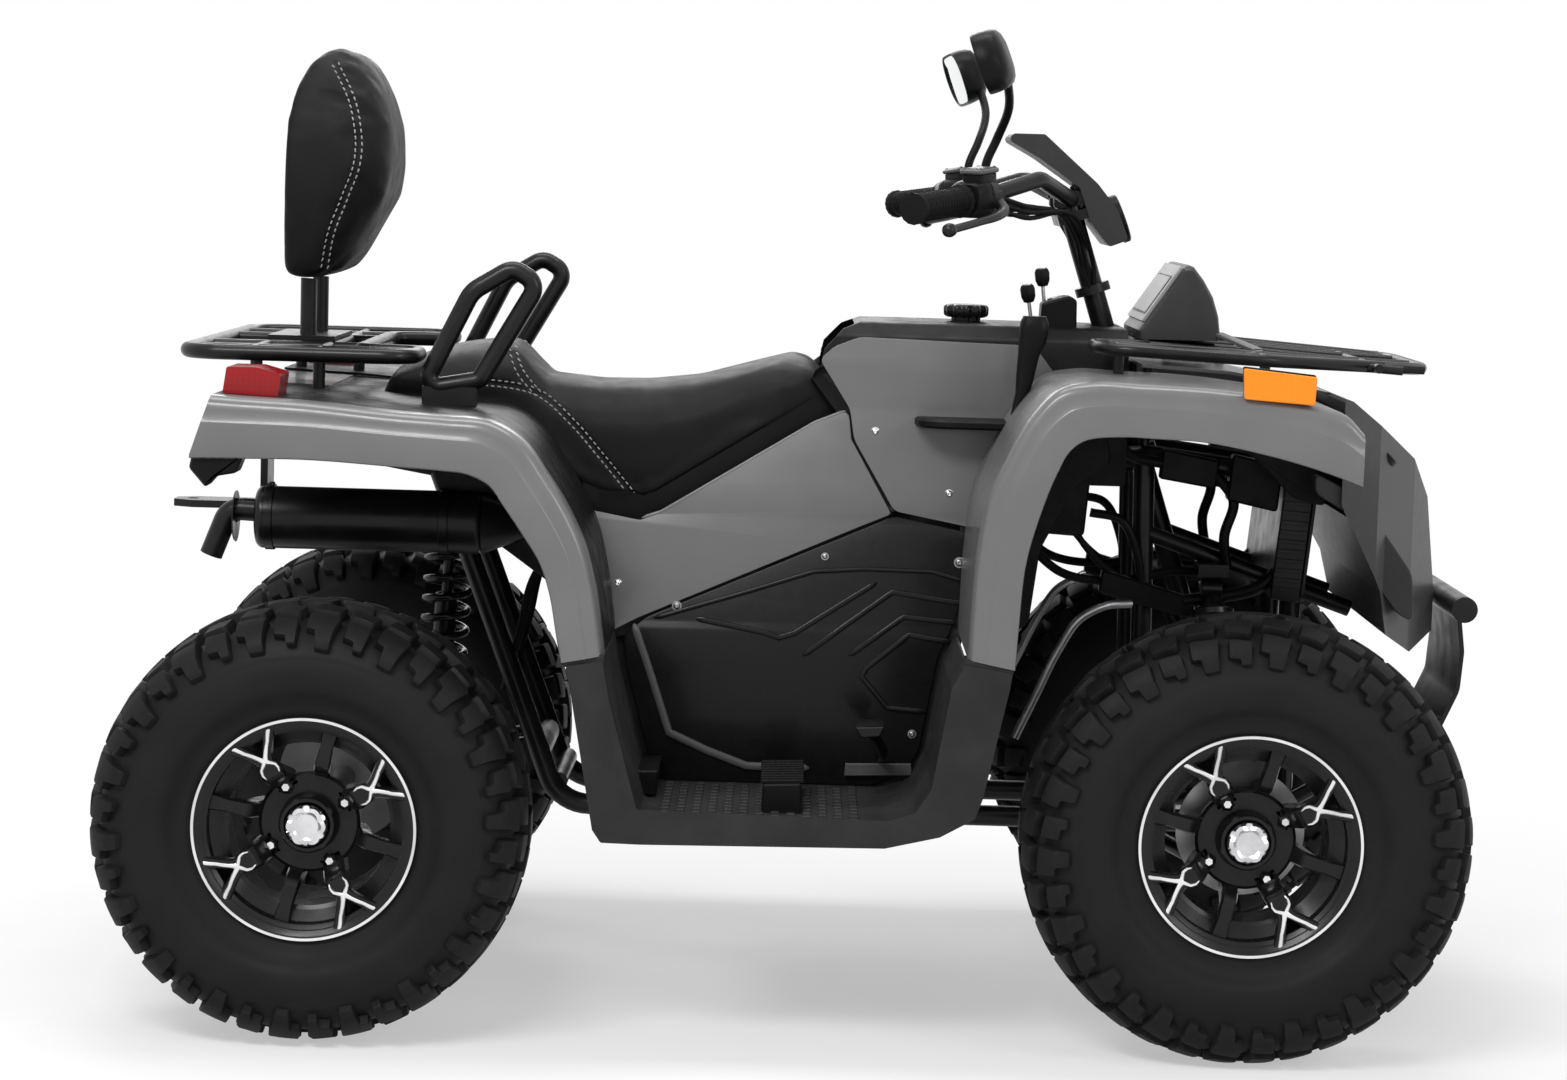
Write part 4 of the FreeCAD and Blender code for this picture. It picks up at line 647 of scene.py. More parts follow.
def spoke_depth(r):
    """How far the spokes' faces lie inside the lip, by radius: near its plane far out, then a steep drop."""
    return HUB_DEPTH - 0.047 * rise(r, 0.058, 0.08) - 0.006 * rise(r, 0.085, 0.135)


def face_path(points, half, out=0.0):
    """Wheel-face points given as (radius, degrees), put on the spokes' face and out of it by a distance."""
    r, a = np.asarray(points, float).T
    a = np.radians(a)
    y = -(half + 0.006) + spoke_depth(r) - out
    return np.stack([r * np.cos(a), y, r * np.sin(a)], -1)


SECTION = np.array([(-1, -1), (-1, 0.55), (-0.8, 1), (0.8, 1), (1, 0.55), (1, -1)])
FLAT = np.array([(-1, -1), (-1, 0.2), (-0.55, 1), (0.55, 1), (1, 0.2), (1, -1)])


def bar(parts, path, widths, height, section=SECTION):
    """A bar along a wheel-face path: the section is as wide as widths there, and its top faces outwards."""
    scale = np.stack([np.interp(np.linspace(0, 1, len(path)), np.linspace(0, 1, len(widths)), widths) / 2,
                      np.full(len(path), height / 2)], -1)
    lowered = path + np.array([0, height / 2, 0])
    parts.closed(swept(lowered, section, scale, up=(0, -1, 0)))


def spider(half, phase):
    """Black castings of a wheel: four forked spokes, four plain ones, hub pad and barrel."""
    parts = Parts()
    for quarter in range(4):
        middle_angle = phase + 90 * quarter
        trunk = smooth_line([(0.05, 0), (0.064, 0), (0.078, 0), (0.09, 0), (0.102, 0)], 26)
        bar(parts, face_path(trunk + (0, middle_angle), half), (0.034, 0.03, 0.03, 0.026, 0.018), 0.016)
        for side in (-1, 1):
            arm = smooth_line([(0.088, side * 1.5), (0.1, side * 3.5), (0.118, side * 8.0),
                               (0.1345, side * 11.5)], 20)
            bar(parts, face_path(arm + (0, middle_angle), half), (0.012, 0.012, 0.013, 0.017), 0.015)
        plain_spoke = smooth_line([(0.048, 45), (0.07, 45), (0.095, 45), (0.131, 45)], 24)
        path = face_path(plain_spoke + (0, middle_angle), half) + np.array([0, 0.016, 0])
        bar(parts, path, (0.026, 0.02, 0.017, 0.024), 0.016)
    face = hub_face(half)
    parts.grid(turned([(0.0, face), (0.02, face), (0.036, face), (0.06, face), (0.064, face + 0.003),
                       (0.064, face + 0.012), (0.0, face + 0.012)][::-1], 96), round_columns=True)
    barrel = [(0.1405, -(half + 0.0045)), (0.141, -(half + 0.003)), (0.141, -half),
              (0.1275, -(half - 0.001)), (0.127, -(half - 0.02)), (0.1085, -(half - 0.034)),
              (0.1085, half - 0.034), (0.127, half - 0.022), (0.1275, half), (0.141, half),
              (0.141, half + 0.006), (0.136, half + 0.006), (0.1225, half - 0.003), (0.1215, half - 0.024),
              (0.1035, half - 0.038), (0.1035, -(half - 0.038)), (0.1215, -(half - 0.026)),
              (0.1225, -(half - 0.006)), (0.1345, -(half + 0.0035)), (0.1365, -(half + 0.0045))]
    parts.hoop(turned(barrel, 144), flip=True)
    return parts


def machined(half, phase):
    """Bright machined lines of a wheel: the lip and the forks' edges."""
    parts = Parts()
    lip = [(0.1366, -(half + 0.0044)), (0.137, -(half + 0.0062)), (0.1404, -(half + 0.0062)),
           (0.1409, -(half + 0.0049)), (0.1388, -(half + 0.0038))]
    parts.hoop(turned(lip, 180), flip=True)
    for quarter in range(4):
        middle_angle = phase + 90 * quarter
        for side in (-1, 1):
            outer = [(0.097, side * 0.6), (0.103, side * 2.6), (0.119, side * 8.0), (0.1365, side * 11.8)]
            inner = [(0.0975, 0.0), (0.0935, side * 2.6), (0.089, side * 6.4), (0.083, side * 7.8),
                     (0.0745, side * 6.8)]
            for line, widths in ((outer, (0.0062, 0.0052, 0.0046, 0.0054)),
                                 (inner, (0.0058, 0.0046, 0.004, 0.0034, 0.0014))):
                finer = np.stack([np.interp(np.linspace(0, len(line) - 1, 22), range(len(line)), c)
                                  for c in zip(*line)], -1)
                bar(parts, face_path(finer + (0, middle_angle), half, 0.0012), widths, 0.0024, FLAT)
    return parts


def chrome_bits(half, phase):
    """Lug nuts and the ribbed centre cap of a wheel."""
    parts = Parts()
    face = hub_face(half)
    for quarter in range(4):
        a = math.radians(phase + 90 * quarter)
        cx, cz = NUT_CIRCLE * math.cos(a), NUT_CIRCLE * math.sin(a)
        hexagon = ring(6, start=a)
        rows = [(0.0105, 0.001), (0.0105, -0.012), (0.0088, -0.0145), (0.005, -0.0185), (0.0015, -0.0195)]
        grid = [np.stack([cx + hexagon[:, 0] * r, np.full(6, face + y), cz + hexagon[:, 1] * r], -1)
                for r, y in rows]
        parts.closed(np.stack(grid), flip=True)
    a = angles(120)
    rows = [(0.027, 0.001, 0), (0.0265, -0.026, 0), (0.0262, -0.03, 0.2), (0.0235, -0.034, 1),
            (0.0185, -0.0355, 1), (0.015, -0.033, 0.4), (0.012, -0.0335, 0), (0.004, -0.035, 0)]
    flute = np.cos(6 * a)
    grid = np.stack([np.stack([(r + 0.0012 * f * flute) * np.cos(a),
                               np.full(120, face + y) - 0.0012 * f * flute,
                               (r + 0.0012 * f * flute) * np.sin(a)], -1) for r, y, f in rows])
    parts.closed(grid, flip=True)
    return parts


def cap_ring(half):
    """Dark collar round the centre cap."""
    face = hub_face(half)
    profile = [(0.0275, face + 0.001), (0.0275, face - 0.02), (0.0295, face - 0.024), (0.0335, face - 0.024),
               (0.0365, face - 0.018), (0.0385, face + 0.001)]
    return Parts().hoop(turned(profile, 96), flip=True)


# Soft pieces


def lofted(stations, section):
    """Rings carried along X. stations are rows of (x, half width, low z, high z); the section is given as
    (across, up) pairs from -1 to 1 and 0 to 1, so that a ring spans each station's width and height."""
    x, half, low, high = np.asarray(stations, float).T
    across, up = np.asarray(section, float).T
    return np.stack([
        np.broadcast_to(x[:, None], (len(x), len(across))),
        half[:, None] * across[None],
        low[:, None] + (high - low)[:, None] * up[None],
    ], -1)


def pillow_section(count, squareness, crown):
    """A superellipse from 0 to 1 high. Its upper half sinks towards its sides, by crown at most."""
    across, up = superellipse(count, squareness)
    up = (up + 1) / 2
    return np.stack([across, up * (1 - crown * across**2 * (up > 0.5))], -1)


def applied(piece):
    """The mesh of a piece with its modifiers worked out."""
    graph = bpy.context.evaluated_depsgraph_get()
    mesh = bpy.data.meshes.new_from_object(piece.evaluated_get(graph), depsgraph=graph)
    piece.modifiers.clear()
    old, piece.data = piece.data, mesh
    bpy.data.meshes.remove(old)
    return mesh


def vertices(mesh):
    """A mesh's points as an array."""
    flat = np.empty(len(mesh.vertices) * 3)
    mesh.vertices.foreach_get("co", flat)
    return flat.reshape(-1, 3)


def directions(mesh):
    """The outward direction at each point of a mesh."""
    flat = np.empty(len(mesh.vertices) * 3)
    mesh.vertex_normals.foreach_get("vector", flat)
    return flat.reshape(-1, 3)


def move_to(mesh, points):
    """Puts a mesh's points at new places."""
    mesh.vertices.foreach_set("co", points.ravel())
    mesh.update()


def padded(mesh, voxel, pressure, cap, rests_below):
    """Padding under a cover: the shape is remeshed evenly, blown up as cloth with its base held, and no point
    ends further than cap from where it began. Points lower than rests_below are the base."""
    piece = bpy.data.objects.new(mesh.name, mesh)
    bpy.context.scene.collection.objects.link(piece)
    remesh = piece.modifiers.new("even", "REMESH")
    remesh.mode, remesh.voxel_size = "VOXEL", voxel
    start = vertices(applied(piece))
    base = piece.vertex_groups.new(name="base")
    held = np.nonzero(rests_below(start))[0]
    base.add([int(i) for i in held], 1.0, "REPLACE")
    cloth = piece.modifiers.new("cover", "CLOTH")
    cloth.settings.use_pressure = True
    cloth.settings.uniform_pressure_force = pressure
    cloth.settings.vertex_group_mass = "base"
    cloth.settings.effector_weights.gravity = 0.0
    cloth.settings.quality = 5
    cloth.point_cache.frame_end = 20
    for frame in range(1, 21):
        bpy.context.scene.frame_set(frame)
    blown = vertices(applied(piece))
    bpy.context.scene.frame_set(1)
    shift = blown - start
    far = np.linalg.norm(shift, axis=1, keepdims=True)
    move_to(piece.data, start + shift * np.minimum(1.0, cap / np.maximum(far, 1e-9)))
    smooth = piece.modifiers.new("settle", "SMOOTH")
    smooth.factor, smooth.iterations = 0.5, 6
    finer = piece.modifiers.new("finer", "SUBSURF")
    finer.levels = finer.render_levels = 1
    applied(piece)
    return piece


def off_line(places, line):
    """Distance of each (x, z) place from a broken line."""
    best = np.full(len(places), np.inf)
    for a, b in zip(line, line[1:]):
        run = b - a
        t = np.clip(((places - a) @ run) / np.linalg.norm(run)**2, 0, 1)
        best = np.minimum(best, np.linalg.norm(places - (a + t[:, None] * run), axis=1))
    return best


def seamed(piece, lines, where, depth=0.0028, width=0.0035):
    """Draws seams into a piece: a groove that falls off as a bell curve beside each (x, z) line."""
    points, normals = vertices(piece.data), directions(piece.data)
    for line in lines:
        d = off_line(points[:, (0, 2)], line)
        pull = depth * np.exp(-((d / width) ** 2)) * where(points, normals)
        points = points - normals * pull[:, None]
    move_to(piece.data, points)


def stitches(name, piece, lines, offset=0.004):
    """Thread beside seams, on both flanks: little rods laid where rays cast along Y meet the surface."""
    tree = bvhtree.BVHTree.FromPolygons(
        [v.co[:] for v in piece.data.vertices], [p.vertices[:] for p in piece.data.polygons]
    )
    gap, length = sizes().gap, sizes().stitch
    rod_ring = ring(6, sizes().thread)
    caps = np.array([(-0.5, 0.35), (-0.42, 0.9), (0.0, 1.0), (0.42, 0.9), (0.5, 0.35)])
    parts = Parts()
    for line in lines:
        finer = smooth_line(line, 400)
        steps = walked(finer)
        at = np.arange(gap / 2, steps[-1], gap)
        middle, next_to = (np.stack([np.interp(at + d, steps, c) for c in finer.T], -1) for d in (0.0, 0.001))
        ahead = unit(next_to - middle + 1e-9)
        for shift in (-offset, offset):
            spots = middle + shift * np.stack([-ahead[:, 1], ahead[:, 0]], -1)
            for side in (-1, 1):
                for (x, z), (dx, dz) in zip(spots, ahead):
                    hit, normal, _, _ = tree.ray_cast(Vector((x, side * 0.6, z)), Vector((0, -side, 0)))
                    if hit is None:
                        continue
                    n = np.array(normal)
                    along = np.array((dx, 0.0, dz))
                    along = unit(along - n * (along @ n))
                    beside = np.cross(n, along)
                    rows = [np.array(hit) + n * 0.0002 + along * c * length
                            + s * (rod_ring[:, :1] * beside + rod_ring[:, 1:] * n) for c, s in caps]
                    parts.closed(np.stack(rows))
    show(outward(parts.mesh(name)), FINISHES["thread"], "chassis", sharp=80.0)


WHEELS = (
    # corner, radius, width, half the rim, pitches, axle centre, body
    ("front_right", 0.286, 0.178, 0.07, 18, (0.567, -0.415, 0.286), "wheel_front_right"),
    ("front_left", 0.286, 0.178, 0.07, 18, (0.567, 0.415, 0.286), "wheel_front_left"),
    ("rear_right", 0.277, 0.254, 0.101, 18, (-0.613, -0.403, 0.277), "rear_axle"),
    ("rear_left", 0.277, 0.254, 0.101, 18, (-0.613, 0.403, 0.277), "rear_axle"),
)


def to_corner(centre):
    """Moves wheel points to an axle centre; the left-hand wheels are turned to face outwards by mirroring."""
    centre = np.array(centre)
    turn = np.array((1.0, 1.0 if centre[1] < 0 else -1.0, 1.0))
    return lambda points: points * turn + centre


def make_tyres():
    """Tyres with their tread blocks."""
    for corner, radius, width, half, pitches, centre, body in WHEELS:
        shape, parts = Tyre(radius, width, half, pitches), Parts()
        shape.carcass(parts)
        shape.blocks(parts)
        add_piece(parts, f"tread_{corner}", "tyre_rubber", 40.0, [f"tyre_{corner}"], body=body,
                  transform=to_corner(centre))


def make_wheels():
    """Cast wheels with their machined lines, nuts and caps."""
    for corner, _, _, half, _, centre, body in WHEELS:
        phase = 29.5 if corner.startswith("front") else 31.5
        for word, parts, finish, slot, replaced in (
            ("casting", spider(half, phase), "wheel_alloy", "wheel_alloy", [f"rim_{corner}"]),
            ("machined", machined(half, phase), "machined", "bare_steel", ()),
            ("nuts", chrome_bits(half, phase), "chrome", "bare_steel", ()),
            ("cap_ring", cap_ring(half), "wheel_alloy", "wheel_alloy", ()),
        ):
            add_piece(parts, f"{word}_{corner}", finish, 30.0, replaced, body, to_corner(centre))


def make_seat():
    """The long seat, blown up from a loft of rounded stations."""
    top = np.array([(-567, 800), (-556, 832), (-505, 850), (-436, 860), (-411, 863), (-392, 861),
                    (-374, 838), (-352, 817), (-281, 811), (-216, 812), (-146, 820), (-39, 850), (-6, 859),
                    (12, 848), (24, 818), (27, 806)]) / 1000
    low = np.array([(-567, 787), (-433, 771), (-360, 720), (-326, 694), (-272, 664), (-208, 658),
                    (-62, 754), (27, 802)]) / 1000
    wide = np.array([(-567, 138), (-545, 148), (-450, 153), (-200, 153), (-40, 147), (27, 132)]) / 1000
    x = np.linspace(-0.567, 0.027, 120)
    stations = np.stack([x] + [np.interp(x, *c.T) for c in (wide, low, top)], -1)
    parts = Parts().closed(lofted(stations, pillow_section(72, 4.5, 0.1)))
    mesh = outward(parts.mesh("seat_cover"))

    def underside(points):
        return points[:, 2] < np.interp(points[:, 0], *low.T) + 0.016

    seat = padded(mesh, 0.006, 4.0, 0.01, underside)
    seams = [smooth_line([(-0.474, 0.822), (-0.355, 0.803), (-0.308, 0.764), (-0.274, 0.726),
                          (-0.222, 0.664)], 60),
             smooth_line([(-0.399, 0.866), (-0.384, 0.832), (-0.36, 0.804)], 20)]
    seamed(seat, seams, lambda p, n: rise(np.abs(n[:, 1]), 0.15, 0.45))
    stitches("seat_thread", seat, seams)
    return seat


def make_backrest():
    """The passenger's backrest, blown up from stations over its height."""
    z = np.array((950, 958, 1008, 1061, 1101, 1157, 1200, 1237, 1256, 1264)) / 1000
    back = np.array((-690, -702, -701, -700, -699, -697, -688, -672, -655, -640)) / 1000
    edge = np.array((-668, -646, -636, -618, -603, -606, -611, -622, -630, -638)) / 1000
    front = np.array((-664, -628, -606, -575, -570, -574, -588, -606, -622, -634)) / 1000
    wide = np.array((120, 134, 150, 158, 160, 154, 140, 116, 90, 66)) / 1000
    rows = np.linspace(z[0], z[-1], 90)
    back, edge, front, wide = (np.interp(rows, z, c) for c in (back, edge, front, wide))
    corners = np.stack([np.stack([back, back, edge, front, front, edge, back, back], -1),
                        np.stack([-wide * 0.4, 0.006 - wide, -wide, 0.05 - wide, wide - 0.05, wide,
                                  wide - 0.006, wide * 0.4], -1),
                        np.broadcast_to(rows[:, None], (len(rows), 8))], -1)
    ahead = np.roll(corners, -1, axis=1)
    steps = np.linspace(0, 1, 8, endpoint=False)[None, None, :, None]
    grid = (corners[:, :, None] * (1 - steps) + ahead[:, :, None] * steps).reshape(len(rows), 64, 3)
    mesh = outward(Parts().closed(grid).mesh("backrest_cover"))
    pad = padded(mesh, 0.006, 4.0, 0.01, lambda points: points[:, 0] < -0.69)
    line = smooth_line([(-0.64, 1.235), (-0.612, 1.18), (-0.604, 1.101), (-0.618, 1.061), (-0.638, 1.008),
                        (-0.648, 0.96)], 80)
    seamed(pad, [line], lambda p, n: rise(np.abs(n[:, 1]), 0.25, 0.5))
    stitches("backrest_thread", pad, [line])
    return pad


def cover(piece, node):
    """Dresses a blown-up pad in vinyl and puts it in place of its CAD node."""
    piece.data.materials.clear()
    piece.data.materials.append(FINISHES["seat_vinyl"])
    piece.data.polygons.foreach_set("use_smooth", np.ones(len(piece.data.polygons), bool))
    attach(piece, "chassis")
    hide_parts(node)


def make_soft():
    """Seat and backrest under their covers."""
    cover(make_seat(), "seat")
    cover(make_backrest(), "backrest")


class QUAD_OT_tyres(Maker, bpy.types.Operator):
    """Tyres with tread blocks, in place of the plain ones"""

    bl_idname = "quad.tyres"
    bl_label = "Tyres"
    makers = (make_tyres,)


class QUAD_OT_wheels(Maker, bpy.types.Operator):
    """Black wheels with machined lines, nuts and caps"""

    bl_idname = "quad.wheels"
    bl_label = "Wheels"
    makers = (make_wheels,)


class QUAD_OT_seat(Maker, bpy.types.Operator):
    """Seat and backrest covers with their seams and stitching"""

    bl_idname = "quad.seat"
    bl_label = "Seat and backrest"
    makers = (make_soft,)


# Fittings


def spun(parts, foot, head, profile, sides=32, waves=0, depth=0.0):
    """A profile of (distance from foot, radius) pairs turned about the line from foot to head. The radius
    swells by depth, waves times round, where the profile's radius is over half its largest."""
    foot, head = np.asarray(foot, float), np.asarray(head, float)
    along = unit(head - foot)
    across = unit(np.cross(along, (0.0, 0.0, 1.0) if abs(along[2]) < 0.9 else (1.0, 0.0, 0.0)))
    beside = np.cross(along, across)
    a = angles(sides)
    d, r = np.asarray(profile, float).T
    swell = 1.0 + depth / r.max() * np.cos(waves * a)[None] * (r > r.max() / 2)[:, None]
    r = r[:, None] * swell
    points = foot + d[:, None, None] * along + r[..., None] * (
        np.cos(a)[:, None] * across + np.sin(a)[:, None] * beside)
    parts.closed(points)
    return parts


def level_for(points):
    """The coordinate axis that a line of points runs along least."""
    run = np.abs(np.diff(np.asarray(points, float), axis=0)).sum(axis=0)
    return tuple(float(i == int(run.argmin())) for i in range(3))


def tube(parts, points, radius, count=48, sides=12):
    """A round tube along a smooth line through points."""
    line = smooth_line(points, count)
    parts.closed(swept(line, ring(sides, radius), up=level_for(points)))
    return parts


def coil(parts, foot, head, radius, wire, turns, sides=8):
    """A helix of wire about the line from foot to head, its climb eased a little in the middle."""
    foot, head = np.asarray(foot, float), np.asarray(head, float)
    along = unit(head - foot)
    across = unit(np.cross(along, (0.0, 1.0, 0.0)))
    beside = np.cross(along, across)
    t = np.linspace(0, 1, int(28 * turns) + 1)
    a = 2 * np.pi * turns * t
    climb = t + 0.02 * np.sin(2 * np.pi * t)
    line = (foot + (np.linalg.norm(head - foot) * climb)[:, None] * along
            + radius * (np.cos(a)[:, None] * across + np.sin(a)[:, None] * beside))
    parts.closed(swept(line, ring(sides, wire), up=tuple(along)))
    return parts


def drawn_in(outline, edge):
    """An outline moved inwards by edge along the mean of its sides' normals; it runs anticlockwise."""
    outline = np.asarray(outline, float)
    before, after = unit(outline - np.roll(outline, 1, 0)), unit(np.roll(outline, -1, 0) - outline)
    inward = unit(np.stack([-before[:, 1], before[:, 0]], -1) + np.stack([-after[:, 1], after[:, 0]], -1))
    reach = np.clip(np.einsum("ij,ij->i", inward, np.stack([-after[:, 1], after[:, 0]], -1)), 0.4, 1.0)
    return outline + inward * (edge / reach)[:, None]


def turned_left(outline):
    """The outline, run anticlockwise."""
    outline = np.asarray(outline, float)
    x, y = outline.T
    area = np.sum(x * np.roll(y, -1) - y * np.roll(x, -1))
    return outline if area > 0 else outline[::-1]


def slab(parts, outline, low, high, edge=0.0015, flat=False):
    """A plate with chamfered rims: an outline in X and Z carried from low to high along Y, or, when it lies
    flat, one in X and Y carried along Z."""
    outline = turned_left(outline)
    rows = [(drawn_in(outline, edge), low), (outline, low + edge), (outline, high - edge),
            (drawn_in(outline, edge), high)]
    grid = np.stack([np.column_stack([o, np.full(len(o), h)]) for o, h in rows])
    if not flat:
        grid = grid[..., (0, 2, 1)]
    parts.closed(grid)
    return parts


def side_slab(parts, outline, side, near, far, edge, corner=0.0):
    """A plate on one side of the machine, between two distances from its middle plane."""
    outline = np.array(outline, float)
    if corner:
        outline = rounded(outline, corner)
    slab(parts, outline, *sorted((side * near, side * far)), edge)


def on_side(side, points):
    """Points given for the left, put on a side."""
    return np.array(points) * (1.0, side, 1.0)


def rounded(outline, radius, steps=4):
    """An outline whose corners are rounded off by curves that start at most radius before each."""
    outline = np.asarray(outline, float)
    made = []
    for before, here, after in zip(np.roll(outline, 1, 0), outline, np.roll(outline, -1, 0)):
        back, ahead = before - here, after - here
        a = here + back * min(radius / np.linalg.norm(back), 0.45)
        b = here + ahead * min(radius / np.linalg.norm(ahead), 0.45)
        for t in np.linspace(0, 1, steps + 1):
            made.append((1 - t) ** 2 * a + 2 * t * (1 - t) * here + t * t * b)
    return np.array(made)


BUTTON = ((-0.6, 1.0), (0.0, 1.5), (0.15, 1.5), (0.3, 1.42), (0.32, 1.05), (0.72, 0.9), (0.95, 0.62),
          (0.98, 0.46), (0.6, 0.4), (0.55, 0.1))
HEX = ((-0.6, 1.0), (0.0, 1.62), (0.2, 1.62), (0.3, 1.5), (0.31, 1.0))


def bolt(parts, at, out, size=0.004, hexed=False):
    """A bolt head of the given shank radius, standing on a surface that faces out."""
    at, out = np.asarray(at, float), unit(np.asarray(out, float))
    spun(parts, at, at + out, np.array(HEX if hexed else BUTTON) * size, 20)
    if hexed:
        head = np.array([(0.2, 1.1), (0.25, 1.18), (1.0, 1.18), (1.15, 1.0), (1.17, 0.3)]) * size
        spun(parts, at, at + out, head, 6)
    return parts


SIDES = ((-1, "right"), (1, "left"))  # the sign of Y with its word
FLANK = np.array(((0.3, 0.196), (0.5, 0.196), (0.515, 0.192), (0.652, 0.166), (0.68, 0.166), (0.8, 0.15),
                  (0.87, 0.148)))
FLANK_BENDS = (0.4, 0.5, 0.505, 0.51, 0.515, 0.55, 0.59, 0.62, 0.645, 0.652, 0.664, 0.68, 0.7, 0.74, 0.78,
               0.8, 0.835, 0.87)


def flank(z):
    """Half the body's width at a height."""
    return np.interp(z, *FLANK.T)


COVER = ((-189, 301), (98, 301), (140, 317), (160, 350), (181, 476), (196, 510), (222, 590), (224, 638),
         (118, 658), (-206, 517), (-236, 492), (-230, 450))
RIBS = (
    ((-140, 517), (-47, 501), (-30, 495), (-9, 502), (98, 571)),
    ((2, 472), (62, 517), (119, 559), (215, 546)),
    ((63, 474), (135, 527), (205, 521)),
    ((198, 496), (142, 504), (87, 458), (81, 447), (116, 406), (168, 402)),
)
SILL = ((-196, 516), (-151, 530), (-74, 554), (14, 583), (81, 588), (171, 587), (216, 575))
RIM = ((-222, 508), (-197, 439), (-172, 365), (-123, 343), (-68, 323), (15, 322))


def dense(points, step=0.006):
    """A broken line with points added every step or so, its corners kept."""
    points = np.asarray(points, float)
    rows = [a + (b - a) * t for a, b in zip(points, points[1:])
            for t in np.linspace(0, 1, max(2, int(np.linalg.norm(b - a) / step)), endpoint=False)]
    return np.array(rows + [points[-1]])


def moulded_line(parts, line, side, width, proud, sunk=0.001):
    """A line along the flank with a flat top, rounded shoulders and ends brought down. Its top stands proud
    of the flank, or lies behind it where proud is negative, and its foot is sunk."""
    line = dense(np.asarray(line, float) / 1000)
    x, z = line.T
    path = np.stack([x, side * flank(z), z], -1)
    half = width / 2
    section = np.array([(-half, -sunk), (-half * 0.8, proud * 0.75), (-half * 0.45, proud),
                        (half * 0.45, proud), (half * 0.8, proud * 0.75), (half, -sunk)])
    scale = np.ones((len(path), 2))
    scale[0], scale[-1] = 0.3, 0.3
    parts.closed(swept(path, section, scale, up=(0, side, 0)))


def bent_sheet(name, outline, side, finish, stands_for=(), corner=0.008, sunk=0.002):
    """A moulded sheet cut to a side-view outline and bent to follow the flank."""
    outline = turned_left(rounded(np.array(outline) / 1000, corner))
    flat = bpy.data.meshes.new(name)
    flat.from_pydata([(x, 0.0, z) for x, z in outline], [], [tuple(range(len(outline)))])
    work = bmesh.new()
    work.from_mesh(flat)
    for height in FLANK_BENDS:
        bmesh.ops.bisect_plane(work, geom=work.verts[:] + work.edges[:] + work.faces[:],
                               plane_co=(0, 0, height), plane_no=(0, 0, 1))
    work.to_mesh(flat)
    work.free()
    points = vertices(flat)
    points[:, 1] = side * (flank(points[:, 2]) - sunk)
    move_to(flat, points)
    plate = show(flat, FINISHES[finish], "chassis", stands_for, 30.0)
    wall = plate.modifiers.new("wall", "SOLIDIFY")
    wall.thickness, wall.offset = 0.004, 0.0
    rim = plate.modifiers.new("rim", "BEVEL")
    rim.width, rim.segments, rim.limit_method, rim.angle_limit = 0.0014, 3, "ANGLE", math.radians(50)
    smoothed(outward(applied(plate)), 30)


def make_covers():
    """Side covers of the engine bay, bent with the flank: plate, ribs, sill line, rim and screws."""
    for side, word in SIDES:
        bent_sheet(f"side_cover_{word}", COVER, side, "cover_black",
                   right_only(side, "side_covers"))
        lines = Parts()
        for rib in RIBS:
            moulded_line(lines, rib, side, 0.008, 0.0026)
        moulded_line(lines, SILL, side, 0.006, 0.0034)
        add_piece(lines, f"cover_ribs_{word}", "cover_black", 40.0)
        frame_line = Parts()
        moulded_line(frame_line, RIM, side, 0.011, 0.0048)
        add_piece(frame_line, f"cover_rim_{word}", "rim_grey", 40.0)
        screws = Parts()
        for x, z, size in ((-0.166, 0.533, 0.0045), (0.028, 0.603, 0.0035), (0.206, 0.6, 0.005),
                           (0.15, 0.372, 0.004)):
            y = side * (flank(z) + 0.0002)
            bolt(screws, (x, y, z), (0, side, 0), size)
        add_piece(screws, f"cover_screws_{word}", "bare_steel")
        studs = Parts()
        for x, z in ((0.09, 0.769), (-0.245, 0.56), (0.19, 0.69)):
            bolt(studs, (x, side * (flank(z) + 0.0004), z), (0, side, 0), 0.0042)
        add_piece(studs, f"panel_screws_{word}", "chrome")


BAR_END = np.array((0.124, -0.402, 1.066))
BAR_ALONG = unit((0.092, 0.15, 0.016))
BAR_AHEAD = unit(np.cross(BAR_ALONG, (0.0, 0.0, 1.0)))
BAR_UP = np.cross(BAR_AHEAD, BAR_ALONG)


def on_bar(along, ahead=0.0, up=0.0):
    """A place by the right grip: along the bar from its end, ahead of it and above it."""
    return BAR_END + BAR_ALONG * along + BAR_AHEAD * ahead + BAR_UP * up


def boxed(parts, places, section, squareness=4.0, count=28, up=(0, 0, 1)):
    """A rounded box carried along places: section gives half the width and half the height at each."""
    loop = np.stack(superellipse(count, squareness), -1)
    parts.closed(swept(places, loop, section, up=up))
    return parts


def put_on(side):
    """Puts points modelled on the right of the machine on one of its sides."""
    return lambda points: points * (1.0, -side, 1.0)


